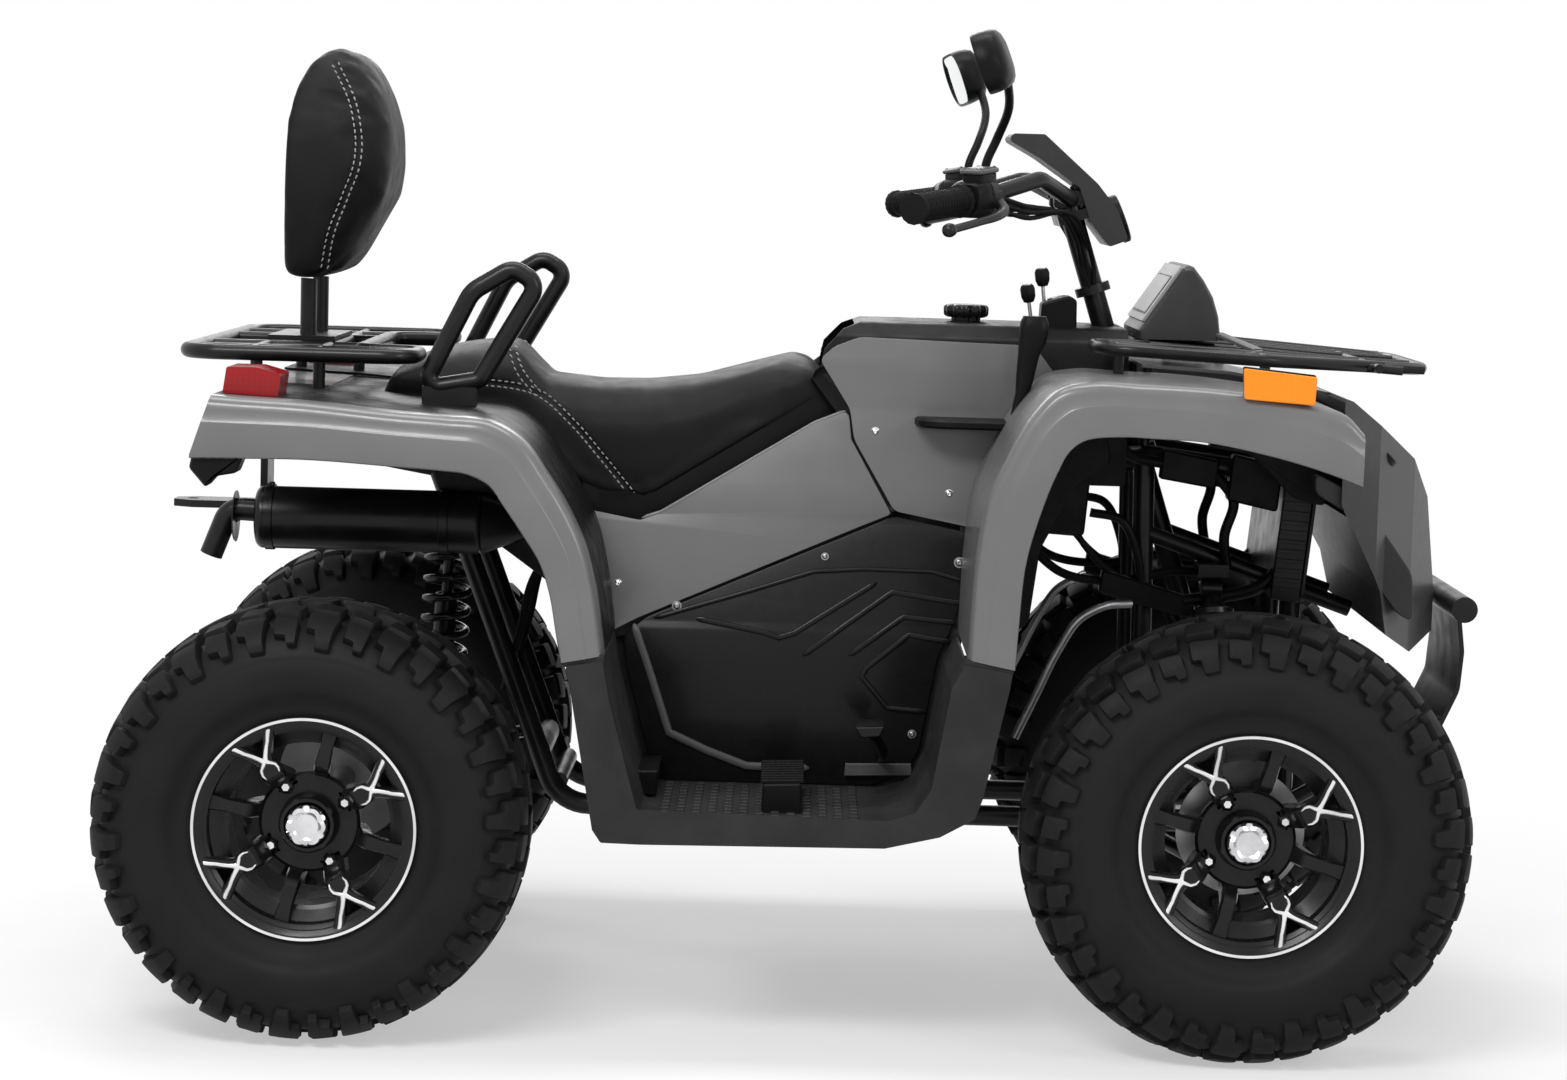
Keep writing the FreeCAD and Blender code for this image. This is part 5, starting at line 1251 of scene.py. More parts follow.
def make_bar():
    """Ribbed grips, switch housings, reservoirs with their lids, levers and the bar's small parts."""
    for side, word in SIDES:
        d = np.linspace(-0.0025, 0.1215, 180)
        wave = np.sin(d * 2 * np.pi / 0.0075)
        r = 0.0172 + 0.0009 * np.sign(wave) * np.abs(wave) ** 0.3 * (d > 0.012) * (d < 0.108)
        r = r + 0.0026 * (1 - rise(d, 0.004, 0.007)) + 0.0042 * rise(d, 0.1145, 0.1165)
        r[0], r[-1] = 0.016, 0.019
        grip = Parts()
        spun(grip, on_bar(0), on_bar(1), np.stack([d, r], -1), 48, 16, 0.0004)
        add_piece(grip, f"grip_{word}", "grip_rubber", 40.0, right_only(side, "grips"), body="steering",
                  transform=put_on(side))

        housing = Parts()
        spots = (0.124, 0.128, 0.14, 0.148, 0.149, 0.151, 0.152, 0.164, 0.18, 0.187)
        places = np.array([on_bar(a, 0.004, 0.001) for a in spots])
        halves = np.array([(0.021, 0.02), (0.0245, 0.0225), (0.027, 0.0245), (0.0275, 0.0248),
                           (0.0262, 0.0235), (0.0262, 0.0235), (0.0275, 0.0248), (0.026, 0.024),
                           (0.0225, 0.021), (0.017, 0.016)])
        boxed(housing, places, halves, 3.4)
        thumb = [on_bar(0.132, -0.02, 0.0), on_bar(0.126, -0.03, -0.006), on_bar(0.112, -0.034, -0.01),
                 on_bar(0.098, -0.033, -0.012)]
        boxed(housing, smooth_line(thumb, 14), np.linspace((0.0075, 0.005), (0.0085, 0.0032), 14), 2.6)
        perch = np.array([on_bar(a, 0.02, -0.001) for a in (0.15, 0.154, 0.176, 0.18)])
        boxed(housing, perch, [(0.01, 0.01), (0.013, 0.012), (0.013, 0.012), (0.01, 0.009)], 4.0)
        add_piece(housing, f"switch_housing_{word}", "black_plastic", 35.0,
                  right_only(side, "brake_levers"), body="steering", transform=put_on(side))

        lever = Parts()
        run = smooth_line([on_bar(0.166, 0.03, -0.004), on_bar(0.15, 0.046, -0.012),
                           on_bar(0.12, 0.054, -0.017), on_bar(0.07, 0.053, -0.021),
                           on_bar(0.02, 0.051, -0.024), on_bar(0.003, 0.05, -0.025)], 60)
        t = np.linspace(0, 1, 60)
        wide = 0.0075 - 0.002 * rise(t, 0.1, 0.5) + 0.0005 * rise(t, 0.6, 0.9)
        boxed(lever, run, np.stack([wide, 0.0058 - 0.001 * rise(t, 0.2, 0.6)], -1), 2.8, 20)
        spun(lever, on_bar(0.001, 0.05, -0.025) - BAR_ALONG * 0.009, on_bar(0.02, 0.05, -0.025),
             [(0.0, 0.002), (0.001, 0.0055), (0.004, 0.0082), (0.009, 0.009), (0.014, 0.0082),
              (0.017, 0.0055), (0.018, 0.002)], 24)
        add_piece(lever, f"lever_{word}", "black_steel", 40.0, body="steering", transform=put_on(side))

        pot, lid = Parts(), Parts()
        base = on_bar(0.156, 0.008, 0.02)
        outline = rounded([(-0.024, -0.017), (0.024, -0.017), (0.024, 0.017), (-0.024, 0.017)], 0.006)
        for parts, scale, low, high, edge in (
            (pot, 0.88, 0.0, 0.013, 0.001),
            (lid, 1.02, 0.0132, 0.0195, 0.0018),
            (lid, 0.72, 0.0193, 0.0207, 0.0008),
        ):
            slab(parts, outline * scale, low, high, edge, flat=True)
            along, ahead, up = parts.points[-1].T[:, :, None]
            parts.points[-1] = base + along * BAR_ALONG + ahead * BAR_AHEAD + up * BAR_UP
        for s, u in ((-0.0185, -0.0115), (0.0185, -0.0115), (0.0185, 0.0115), (-0.0185, 0.0115)):
            bolt(lid, base + BAR_ALONG * s + BAR_AHEAD * u + BAR_UP * 0.0194, BAR_UP, 0.0022)
        add_piece(pot, f"reservoir_{word}", "black_plastic", body="steering", transform=put_on(side))
        add_piece(lid, f"reservoir_lid_{word}", "rim_grey", body="steering",
                  transform=put_on(side))

        knobs = Parts()
        for a, up, size in ((0.14, 0.0225, 0.0055), (0.16, -0.0235, 0.005)):
            spun(knobs, on_bar(a, -0.016, up * 0.55), on_bar(a, -0.03, up * 0.75),
                 np.array([(0.0, 1.0), (0.9, 1.0), (1.1, 0.9), (1.25, 0.5), (1.25, 0.1)]) * size, 20)
        add_piece(knobs, f"switches_{word}", "bare_steel", body="steering", transform=put_on(side))

    clamp = Parts()
    for s in (-1, 1):
        for ahead in (-0.016, 0.016):
            foot = np.array((0.3438 + ahead * 0.95, s * 0.042, 1.0795 + ahead * 0.31))
            bolt(clamp, foot + np.array((-0.0035, 0, 0.011)), (-0.309, 0, 0.951), 0.0042, True)
        block = np.array([(0.3438, s * a, 1.082) for a in (0.03, 0.032, 0.052, 0.054)])
        boxed(clamp, block, [(0.019, 0.012), (0.021, 0.0135), (0.021, 0.0135), (0.019, 0.012)], 5.0)
    add_piece(clamp, "bar_clamp", "black_steel", 35.0, body="steering")


def make_console():
    """Fluted fuel cap, choke knobs, gear lever and key box round the tank."""
    low, high = (np.array(v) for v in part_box("fuel_cap"))
    x, y, top = (low[0] + high[0]) / 2, (low[1] + high[1]) / 2, high[2]
    cap = Parts()
    spun(cap, (x, y, top - 0.0265), (x, y, top), [(0.0, 0.019), (0.008, 0.019), (0.0085, 0.024),
                                                  (0.0105, 0.028), (0.013, 0.0292), (0.02, 0.0296),
                                                  (0.0235, 0.0288), (0.0255, 0.0262), (0.0262, 0.022),
                                                  (0.0258, 0.016), (0.0252, 0.004)], 144, 12, 0.0013)
    add_piece(cap, "fuel_cap_cover", "cap_gloss", 40.0, ["fuel_cap"])
    knobs, stems = Parts(), Parts()
    for foot, head in (((0.298, -0.06, 0.912), (0.2915, -0.06, 0.955)),
                       ((0.318, -0.045, 0.912), (0.311, -0.045, 0.977))):
        foot, head = np.array(foot), np.array(head)
        along = unit(head - foot)
        spun(stems, foot, head, [(0.0, 0.006), (0.004, 0.006), (0.0045, 0.0025),
                                 (float(np.linalg.norm(head - foot)), 0.0025)], 12)
        spun(knobs, head - along * 0.013, head + along * 0.02,
             [(0.0, 0.004), (0.001, 0.0075), (0.008, 0.0108), (0.019, 0.0112), (0.0235, 0.0092),
              (0.0245, 0.004)], 6)
        spun(stems, head + along * 0.0105, head + along * 0.02,
             [(0.0, 0.007), (0.0016, 0.007), (0.002, 0.002)], 24)
    add_piece(knobs, "choke_knobs", "black_plastic")
    add_piece(stems, "choke_stems", "bare_steel")
    grip = [(0.269, -0.222, 0.796), (0.278, -0.222, 0.828), (0.281, -0.222, 0.847), (0.285, -0.222, 0.88),
            (0.2895, -0.222, 0.899), (0.291, -0.222, 0.912), (0.2915, -0.222, 0.922), (0.2915, -0.222, 0.93)]
    halves = [(0.0055, 0.011), (0.0085, 0.0125), (0.0115, 0.013), (0.014, 0.0145), (0.018, 0.016),
              (0.0192, 0.0165), (0.0185, 0.016), (0.015, 0.012)]
    lever = boxed(Parts(), grip, halves, 3.2, 32, (0, 1, 0))
    add_piece(lever, "gear_lever_grip", "black_plastic", 35.0, ["gear_lever"])
    box = Parts()
    slab(box, rounded([(0.307, 0.899), (0.357, 0.897), (0.356, 0.948), (0.346, 0.954), (0.309, 0.943)],
                      0.004), -0.088, -0.038, 0.003)
    add_piece(box, "key_box", "black_plastic")
    lock = Parts()
    face = np.array((0.33, -0.063, 0.9485))
    up = unit((-0.22, 0.0, 0.97))
    spun(lock, face - up * 0.002, face + up, [(0.0, 0.0125), (0.0045, 0.0125), (0.0055, 0.0112),
                                              (0.0055, 0.0072), (0.0035, 0.0066), (0.0035, 0.001)], 40)
    add_piece(lock, "key_lock", "bare_steel")


def make_springs():
    """Dampers with their helical springs, perches and eyes, in place of the plain ones."""
    rows = [("front_right", (0.567, -0.234, 0.2512), (0.545, -0.14, 0.5706), 0.029, sizes().front_wire, 9,
             0.014, (1, 0, 0), "front_shocks"), ("front_left", (0.567, 0.234, 0.2512),
                                                 (0.545, 0.14, 0.5706), 0.029, sizes().front_wire, 9, 0.014,
                                                 (1, 0, 0), None),
            ("rear", (-0.498, 0, 0.335), (-0.48, 0, 0.6677), 0.035, sizes().rear_wire, 8, 0.0207, (0, 1, 0),
             "rear_shock")]
    for word, foot, head, radius, wire, turns, half, eye, node in rows:
        foot, head = np.array(foot), np.array(head)
        length = np.linalg.norm(head - foot)
        along = (head - foot) / length
        start, end = length * 0.16, length * 0.89
        coils = coil(Parts(), foot + along * start, foot + along * end, radius - wire, wire, turns)
        add_piece(coils, f"spring_{word}", "spring_steel", 60.0, [node] if node else ())
        body = Parts()
        spun(body, foot, head, [(0.004, 0.008), (0.012, 0.01), (0.022, 0.01), (start - 0.01, 0.012),
                                (start - 0.006, radius), (start - 0.001, radius), (start, radius - 0.004),
                                (start + 0.001, 0.0155), (length * 0.55, 0.0155), (length * 0.555, 0.012),
                                (length * 0.56, 0.0075), (end - 0.004, 0.0075), (end, 0.015),
                                (end + 0.001, radius - 0.001), (end + 0.008, radius - 0.001),
                                (end + 0.012, 0.016), (end + 0.022, 0.012), (length - 0.012, 0.01),
                                (length - 0.004, 0.008)], 36)
        eye = np.array(eye, float)
        for place in (foot, head):
            spun(body, place - eye * half, place + eye * half, [(0.0, 0.006), (0.0, 0.0125),
                (0.001, 0.0138), (2 * half - 0.001, 0.0138), (2 * half, 0.0125), (2 * half, 0.006)], 28)
        add_piece(body, f"damper_{word}", "black_steel")


def make_treads():
    """Studs on the footwell floors."""
    for side, word in SIDES:
        parts = Parts()
        stud = np.array([(-0.0055, -0.008), (0.0055, -0.008), (0.0055, 0.008), (-0.0055, 0.008)])
        for i, x in enumerate(np.arange(-0.168, 0.092, 0.02)):
            for y in np.arange(0.215 + (i % 2) * 0.012, 0.47, 0.024):
                rows = [np.column_stack([(x, side * y) + stud * s, np.full(4, FOOTWELL_FLOOR + h)])
                        for s, h in ((1.0, -0.0005), (1.0, 0.0014), (0.7, 0.0026))]
                parts.closed(np.stack(rows))
        add_piece(parts, f"tread_floor_{word}", "dark_plastic", 20.0)


UNDER_SEAT = ((-303, 658), (-259, 494), (-215, 517), (114, 661), (58, 757), (52, 794), (9, 777),
              (-190, 653), (-218, 643))
BESIDE_TANK = ((14, 862), (33, 880), (66, 893), (297, 888), (331, 845), (281, 784), (256, 723), (226, 645),
               (118, 665), (62, 758), (56, 797))
ARCHES = (
    # name, replaced node, and rows of (outer x, outer z, inner x, inner z) in millimetres along the arch
    ("front", "front_fender", (
        (206, 512, 265, 501), (208, 570, 268, 560), (212, 640, 274, 634), (222, 705, 288, 690),
        (246, 764, 308, 746), (276, 818, 326, 778), (305, 849, 346, 790), (345, 860, 384, 794),
        (410, 859, 430, 793), (480, 857, 483, 791), (560, 850, 560, 778), (624, 841, 620, 763),
        (664, 828, 655, 752), (686, 806, 685, 741))),
    ("rear", "rear_fender", (
        (-249, 504, -296, 495), (-254, 540, -303, 532), (-263, 592, -312, 580), (-276, 640, -325, 618),
        (-298, 686, -345, 650), (-324, 726, -370, 686), (-352, 764, -391, 714), (-392, 788, -418, 727),
        (-448, 793, -450, 731), (-504, 796, -504, 734), (-628, 806, -627, 740), (-700, 809, -706, 739),
        (-738, 811, -763, 738))),
)


def arch_shell(rows, side):
    """One arch as a grid. Its rows follow the arch; its columns run from the deck beside the body over a
    rounded shoulder, down the face with its crease to the rolled lip."""
    line = smooth_line(np.array(rows, float) / 1000, 110)
    outer, inner = line[:, :2], line[:, 2:]
    drop = inner - outer
    deck = np.maximum(flank(outer[:, 1]) + 0.006, 0.158)
    # each column: share of the drop, and distance in from the outer face; None is as far in as the deck goes
    columns = [(0.0, None), (0.0, 0.15), (0.0, 0.04), (0.0, 0.018), (0.01, 0.0135), (0.035, 0.009),
               (0.075, 0.0052), (0.125, 0.003), (0.2, 0.0022), (0.4, 0.001), (0.415, 0.0003), (0.43, 0.0),
               (0.7, 0.0), (0.955, 0.0), (0.985, 0.0008), (1.0, 0.0035), (1.0, 0.012), (0.985, 0.02)]
    grid = []
    for share, inset in columns:
        y = deck if inset is None else np.maximum(HALF_WIDTH - inset, deck)
        place = outer + drop * share
        grid.append(np.stack([place[:, 0], side * y, place[:, 1]], -1))
    return np.stack(grid, axis=1)


def walled(name, grid, side, finish, stands_for=()):
    """A sheet of grid points given a wall on its inner side."""
    shell = show(Parts().grid(grid).mesh(name), FINISHES[finish], "chassis", stands_for, 38.0)
    wall = shell.modifiers.new("wall", "SOLIDIFY")
    wall.thickness, wall.offset = sizes().wall, float(side)
    smoothed(outward(applied(shell)), 38)


def make_arches():
    """Wheel arches: thin shells with rounded shoulders, black decks behind, the tail panel and its filler."""
    for word, node, rows in ARCHES:
        for side, hand in SIDES:
            grid = arch_shell(rows, side)
            deck = 0 if word == "front" else 2
            walled(f"arch_{word}_{hand}", grid[:, deck:], side, "body_grey", right_only(side, node))
            if deck:
                walled(f"deck_{word}_{hand}", grid[:, :deck + 1], side, "black_plastic")
    tail = Parts()
    slab(tail, np.array([(-763, 739), (-738, 810), (-640, 806), (-640, 802), (-735, 806),
                         (-759, 738)]) / 1000, -0.19, 0.19, 0.0008)
    add_piece(tail, "tail_panel", "body_grey")
    filler = Parts()
    slab(filler, np.array([(-640, 804), (-560, 800), (-540, 790), (-544, 786), (-562, 795),
                           (-640, 799)]) / 1000, -0.18, 0.18, 0.0008)
    add_piece(filler, "deck_filler", "black_plastic")


def make_panels():
    """Painted panels under the seat and beside the tank, with the tray below the gear lever."""
    for side, word in SIDES:
        bent_sheet(f"under_seat_{word}", UNDER_SEAT, side, "body_grey",
                   right_only(side, "side_panels"), 0.005, 0.0)
        bent_sheet(f"beside_tank_{word}", BESIDE_TANK, side, "body_grey", (), 0.008, 0.0)
    gate = Parts()
    slab(gate, rounded([(0.14, -0.15), (0.292, -0.15), (0.292, -0.214), (0.262, -0.222), (0.176, -0.222),
                        (0.146, -0.204)], 0.012), 0.779, 0.791, 0.003, flat=True)
    add_piece(gate, "lever_gate", "black_plastic")


MIRROR = ((-0.06, -0.036), (0.034, -0.042), (0.066, -0.028), (0.074, 0.004), (0.056, 0.036),
          (-0.046, 0.042), (-0.07, 0.018))


def make_mirrors():
    """Domed mirror shells on bent stems, with their glass."""
    outline = turned_left(rounded(MIRROR, 0.026, 8))
    shells, panes = Parts(), Parts()
    for s in (-1, 1):
        back = unit((0.93, s * 0.12, 0.36))
        out = unit(np.cross(back, (0.0, 0.0, 1.0))) * -s
        up = np.cross(back, out) * s
        centre = np.array((0.218, s * 0.392, 1.254))

        def ring_at(depth, scale, centre=centre, out=out, up=up, back=back):
            flat = outline * scale
            return centre + back * depth + flat[:, :1] * out + flat[:, 1:] * up

        rows = [(-0.014, 0.9), (-0.0165, 0.93), (-0.0165, 0.985), (-0.013, 1.0), (-0.004, 1.0),
                (0.006, 0.965), (0.013, 0.88), (0.0175, 0.72), (0.02, 0.48), (0.021, 0.2)]
        shells.closed(np.stack([ring_at(d, k) for d, k in rows]))
        panes.closed(np.stack([ring_at(d, k) for d, k in ((-0.0142, 0.9), (-0.0156, 0.9), (-0.016, 0.88))]))
        tube(shells, on_side(s, [(0.22, 0.245, 1.09), (0.22, 0.2452, 1.125), (0.232, 0.25, 1.156),
                                 (0.244, 0.29, 1.195), (0.238, 0.345, 1.235)]), 0.0058, 60, 14)
        spun(shells, (0.22, s * 0.245, 1.089), (0.22, s * 0.245, 1.2),
             [(0.0, 0.0085), (0.001, 0.0098), (0.014, 0.0098), (0.015, 0.0085)], 6)
    add_piece(shells, "mirror_shells", "black_plastic", 40.0, ["mirrors"], body="steering")
    add_piece(panes, "mirror_panes", "mirror_glass", stands_for=["mirror_glass"], body="steering")


UNDER_SEAT_TOP = ((-216, 646), (-190, 655), (9, 778), (50, 795))
UNDER_SEAT_EDGE = ((-257, 497), (-213, 520), (112, 662), (57, 757), (53, 790))
SEAMS = (
    # gaps between the body panels, in millimetres
    ((-262, 493), (-213, 516), (116, 660)),
    ((116, 663), (60, 757), (54, 796), (12, 850)),
    ((-236, 492), (-230, 450), (-189, 305)),
    ((98, 303), (140, 318), (160, 350), (181, 476), (196, 508), (221, 590)),
)
CREASES = (
    ((146, 842), (144, 815), (141, 797)),
    ((173, 842), (174, 798), (179, 777), (182, 694)),
    ((98, 778), (175, 774), (276, 774)),
    ((97, 778), (105, 722), (120, 674)),
)


def make_panel_edges():
    """Rolled edges and creases of the painted panels, with the dark rims that close the gaps behind them."""
    for side, word in SIDES:
        edges = Parts()
        moulded_line(edges, UNDER_SEAT_TOP, side, 0.0052, 0.002)
        moulded_line(edges, UNDER_SEAT_EDGE, side, 0.0036, 0.0011)
        for line in CREASES:
            moulded_line(edges, line, side, 0.003, 0.001)
        add_piece(edges, f"panel_edges_{word}", "body_grey", 50.0)
        rims = Parts()
        for line in SEAMS:
            moulded_line(rims, line, side, 0.036, -0.0072, 0.0105)
        under = np.array([(-0.3, 0.13, 0.672), (-0.216, 0.138, 0.652), (-0.19, 0.14, 0.66),
                          (-0.06, 0.138, 0.742), (0.01, 0.13, 0.786), (0.034, 0.124, 0.806)])
        under[:, 1] *= side
        upright = np.array([(-0.004, -0.022), (0.004, -0.022), (0.004, 0.022), (-0.004, 0.022)])
        rims.closed(swept(dense(under, 0.02), upright))
        add_piece(rims, f"panel_rims_{word}", "black_plastic", 40.0)
        collars = Parts()
        for outline in (((198, 500), (204, 511), (264, 503), (261, 490)),
                        ((-305, 488), (-303, 500), (-244, 507), (-246, 492))):
            side_slab(collars, np.array(outline) / 1000, side, 0.44, 0.4975, 0.001)
        add_piece(collars, f"post_collars_{word}", "dark_plastic")


LINERS = (
    # outline in millimetres, distance of its inner face from the centre plane, thickness
    (((-500, 742), (-430, 734), (-385, 716), (-322, 612), (-300, 560), (-322, 548), (-395, 600), (-455, 640),
      (-490, 690)), 0.176, 0.004),
    (((262, 500), (272, 600), (284, 664), (314, 752), (336, 782), (392, 786), (402, 740), (352, 700),
      (312, 620), (300, 520)), 0.176, 0.004),
    (((560, 770), (652, 748), (678, 734), (684, 690), (640, 700), (600, 742)), 0.196, 0.004),
)
CHEEKS = (
    (((655, 741), (719, 711), (719, 701), (701, 689), (666, 709), (656, 717)), 0.262, 0.03),
    (((724, 702), (790, 612), (794, 549), (774, 558), (744, 595), (745, 622), (708, 674)), 0.236, 0.034),
)


def make_liners():
    """Black liners inside the arches and the dark cheeks beside the nose."""
    for side, word in SIDES:
        black, dark = Parts(), Parts()
        for rows, parts in ((LINERS, black), (CHEEKS, dark)):
            for outline, y, thick in rows:
                side_slab(parts, np.array(outline) / 1000, side, y, y + thick, 0.0015, 0.01)
        add_piece(black, f"liners_{word}", "black_plastic")
        add_piece(dark, f"nose_cheeks_{word}", "cowl_grey")


def make_lines():
    """Hoses and wiring that run on the frame and down the steering column."""
    runs = Parts()
    for s in (-1, 1):
        tube(runs, on_side(s, [(0.33, 0.118, 0.742), (0.352, 0.121, 0.66), (0.395, 0.118, 0.6),
                               (0.45, 0.112, 0.56), (0.5, 0.108, 0.532), (0.52, 0.106, 0.49)]), 0.0045, 60)
        tube(runs, on_side(s, [(0.3, 0.11, 0.62), (0.345, 0.116, 0.585), (0.42, 0.114, 0.575),
                               (0.5, 0.11, 0.59), (0.56, 0.106, 0.585)]), 0.006, 60)
        tube(runs, on_side(s, [(-0.33, 0.105, 0.6), (-0.36, 0.1, 0.56), (-0.38, 0.095, 0.48),
                               (-0.4, 0.09, 0.4)]), 0.005, 50)
    add_piece(runs, "frame_hoses", "grip_rubber", 60.0)
    cables = Parts()
    for s in (-1, 1):
        for i, (out, back) in enumerate(((0.0, 0.0), (0.012, 0.01), (0.024, -0.006))):
            start = on_bar(0.18, 0.012, -0.012 + 0.008 * i) * (1, -s, 1)
            tube(cables, [start, start + (0.04, -s * 0.045, -0.012),
                          (0.345 + back, s * (0.062 + out), 1.052), (0.362 + back, s * (0.03 + out), 1.022),
                          (0.372 + back, s * (0.018 + out * 0.3), 0.99),
                          (0.38 + back * 0.4, s * (0.016 + out * 0.2), 0.964)], 0.0032, 60)
    add_piece(cables, "bar_cables", "grip_rubber", 60.0, body="steering")


def make_lamps():
    """Bezels and reflector bowls of the lamps."""
    bowls, bezels = Parts(), Parts()
    for s in (-1, 1):
        centre, out = np.array((0.7455, s * 0.25, 0.769)), unit((0.66, 0.0, 0.75))
        spun(bezels, centre - out * 0.004, centre,
             [(0.0, 0.025), (0.0062, 0.025), (0.0072, 0.0238), (0.0062, 0.0222), (0.0052, 0.0222)], 48)
        spun(bowls, centre - out * 0.002, centre,
             [(0.0036, 0.022), (0.0048, 0.0216), (0.0036, 0.018), (0.003, 0.012), (0.0034, 0.0075),
              (0.0058, 0.0062), (0.0068, 0.003)], 48)
    add_piece(bowls, "headlamp_bowls", "chrome")
    add_piece(bezels, "headlamp_bezels", "black_plastic")
    rim, bowl = Parts(), Parts()
    centre, out = np.array((0.412, 0.0, 1.056)), unit((0.93, 0.0, 0.37))
    spun(bowl, centre, centre + out, [(0.0, 0.028), (0.0075, 0.028), (0.0085, 0.0262), (0.007, 0.02),
                                      (0.0062, 0.012), (0.008, 0.008), (0.0105, 0.004)], 48)
    spun(rim, centre, centre + out,
         [(0.0, 0.0335), (0.0082, 0.0335), (0.01, 0.0312), (0.0082, 0.0285), (0.003, 0.0282)], 48)
    add_piece(bowl, "bar_lamp_bowl", "chrome", body="steering")
    add_piece(rim, "bar_lamp_bezel", "black_plastic", body="steering")


def make_pod():
    """Pod behind the front rack: a rounded hood with a pale lid panel, and the forked brace ahead of it."""
    outline = np.array([(0.437, 0.9), (0.4362, 0.912), (0.442, 0.919), (0.496, 0.999), (0.502, 0.9998),
                        (0.509, 0.9975), (0.523, 0.98), (0.536, 0.958), (0.544, 0.933), (0.5468, 0.912),
                        (0.5455, 0.9)])
    across = np.array([-0.1178, -0.117, -0.114, -0.108, -0.098, -0.05, 0.05, 0.098, 0.108, 0.114, 0.117,
                       0.1178])
    shrink = np.array([0.9, 0.935, 0.965, 0.985, 1.0, 1.0, 1.0, 1.0, 0.985, 0.965, 0.935, 0.9])
    line = dense(np.vstack([outline, outline[:1]]), 0.004)[:-1]
    foot = np.array([0.492, 0.9])
    rows = []
    for y, k in zip(across, shrink):
        x, z = (foot + (line - foot) * k).T
        rows.append(np.column_stack([x, np.full(len(line), y), z]))
    shell = Parts().closed(np.stack(rows))
    add_piece(shell, "pod_shell", "cowl_grey", 28.0, ["storage_pod"])
    lid, slot = Parts(), Parts()
    along = unit((0.054, 0.08))
    out = np.array((-along[1], along[0]))

    def on_lid(parts, start, end, low, high, half, edge):
        foot = np.array((0.442, 0.919))
        spots = ((start, low), (end, low), (end, high), (start, high))
        slab(parts, np.array([foot + along * a + out * h for a, h in spots]), -half, half, edge)

    on_lid(lid, 0.004, 0.093, -0.004, 0.0035, 0.106, 0.0012)
    on_lid(slot, 0.014, 0.076, 0.0025, 0.0042, 0.09, 0.0004)
    on_lid(lid, 0.0165, 0.0735, 0.003, 0.0052, 0.0875, 0.0008)
    add_piece(lid, "pod_lid", "lid_grey")
    add_piece(slot, "pod_slot", "black_plastic")
    brace = Parts()
    for s in (-1, 1):
        path = [(0.545, s * 0.11, 0.909), (0.565, s * 0.135, 0.901), (0.59, s * 0.18, 0.8915)]
        boxed(brace, smooth_line(path, 12), np.tile((0.009, 0.0028), (12, 1)), 5.0, 16)
        path = [(0.59, s * 0.18, 0.8905), (0.56, s * 0.215, 0.887), (0.53, s * 0.24, 0.888)]
        boxed(brace, smooth_line(path, 12), np.tile((0.008, 0.0026), (12, 1)), 5.0, 16)
    add_piece(brace, "pod_brace", "rim_grey")


def make_reflectors():
    """Amber plates and their backs above the front arches."""
    amber, brackets = Parts(), Parts()
    outline = rounded([(0.534, 0.846), (0.621, 0.8405), (0.6225, 0.8755), (0.532, 0.884)], 0.003)
    for s in (-1, 1):
        side_slab(amber, outline, s, 0.496, 0.5055, 0.0012)
        side_slab(brackets, outline + (0.0, 0.002), s, 0.49, 0.4962, 0.001)
    add_piece(amber, "amber_reflectors", "amber_lens", stands_for=["side_reflectors"])
    add_piece(brackets, "reflector_backs", "black_plastic")


BOXES = (
    # distances of its faces from the middle plane, corner, outline
    (0.12, 0.148, 0.008, ((0.3, 0.64), (0.372, 0.636), (0.38, 0.74), (0.352, 0.776), (0.306, 0.778))),
    (0.118, 0.146, 0.006, ((0.56, 0.69), (0.628, 0.676), (0.634, 0.738), (0.566, 0.752))),
    (0.12, 0.14, 0.004, ((0.47, 0.716), (0.546, 0.704), (0.55, 0.742), (0.474, 0.756))),
    (0.116, 0.134, 0.006, ((0.395, 0.56), (0.52, 0.528), (0.524, 0.556), (0.399, 0.592))),
)
PIPES = (
    # radius, line on the left
    (0.007, ((0.372, 0.134, 0.744), (0.4, 0.136, 0.762), (0.44, 0.134, 0.742), (0.476, 0.132, 0.736))),
    (0.007, ((0.545, 0.132, 0.724), (0.57, 0.136, 0.69), (0.56, 0.134, 0.64), (0.566, 0.128, 0.596))),
    (0.006, ((0.38, 0.134, 0.668), (0.42, 0.138, 0.66), (0.446, 0.134, 0.61), (0.452, 0.128, 0.576))),
    (0.0085, ((0.51, 0.128, 0.552), (0.56, 0.132, 0.56), (0.61, 0.134, 0.575), (0.636, 0.13, 0.6))),
)


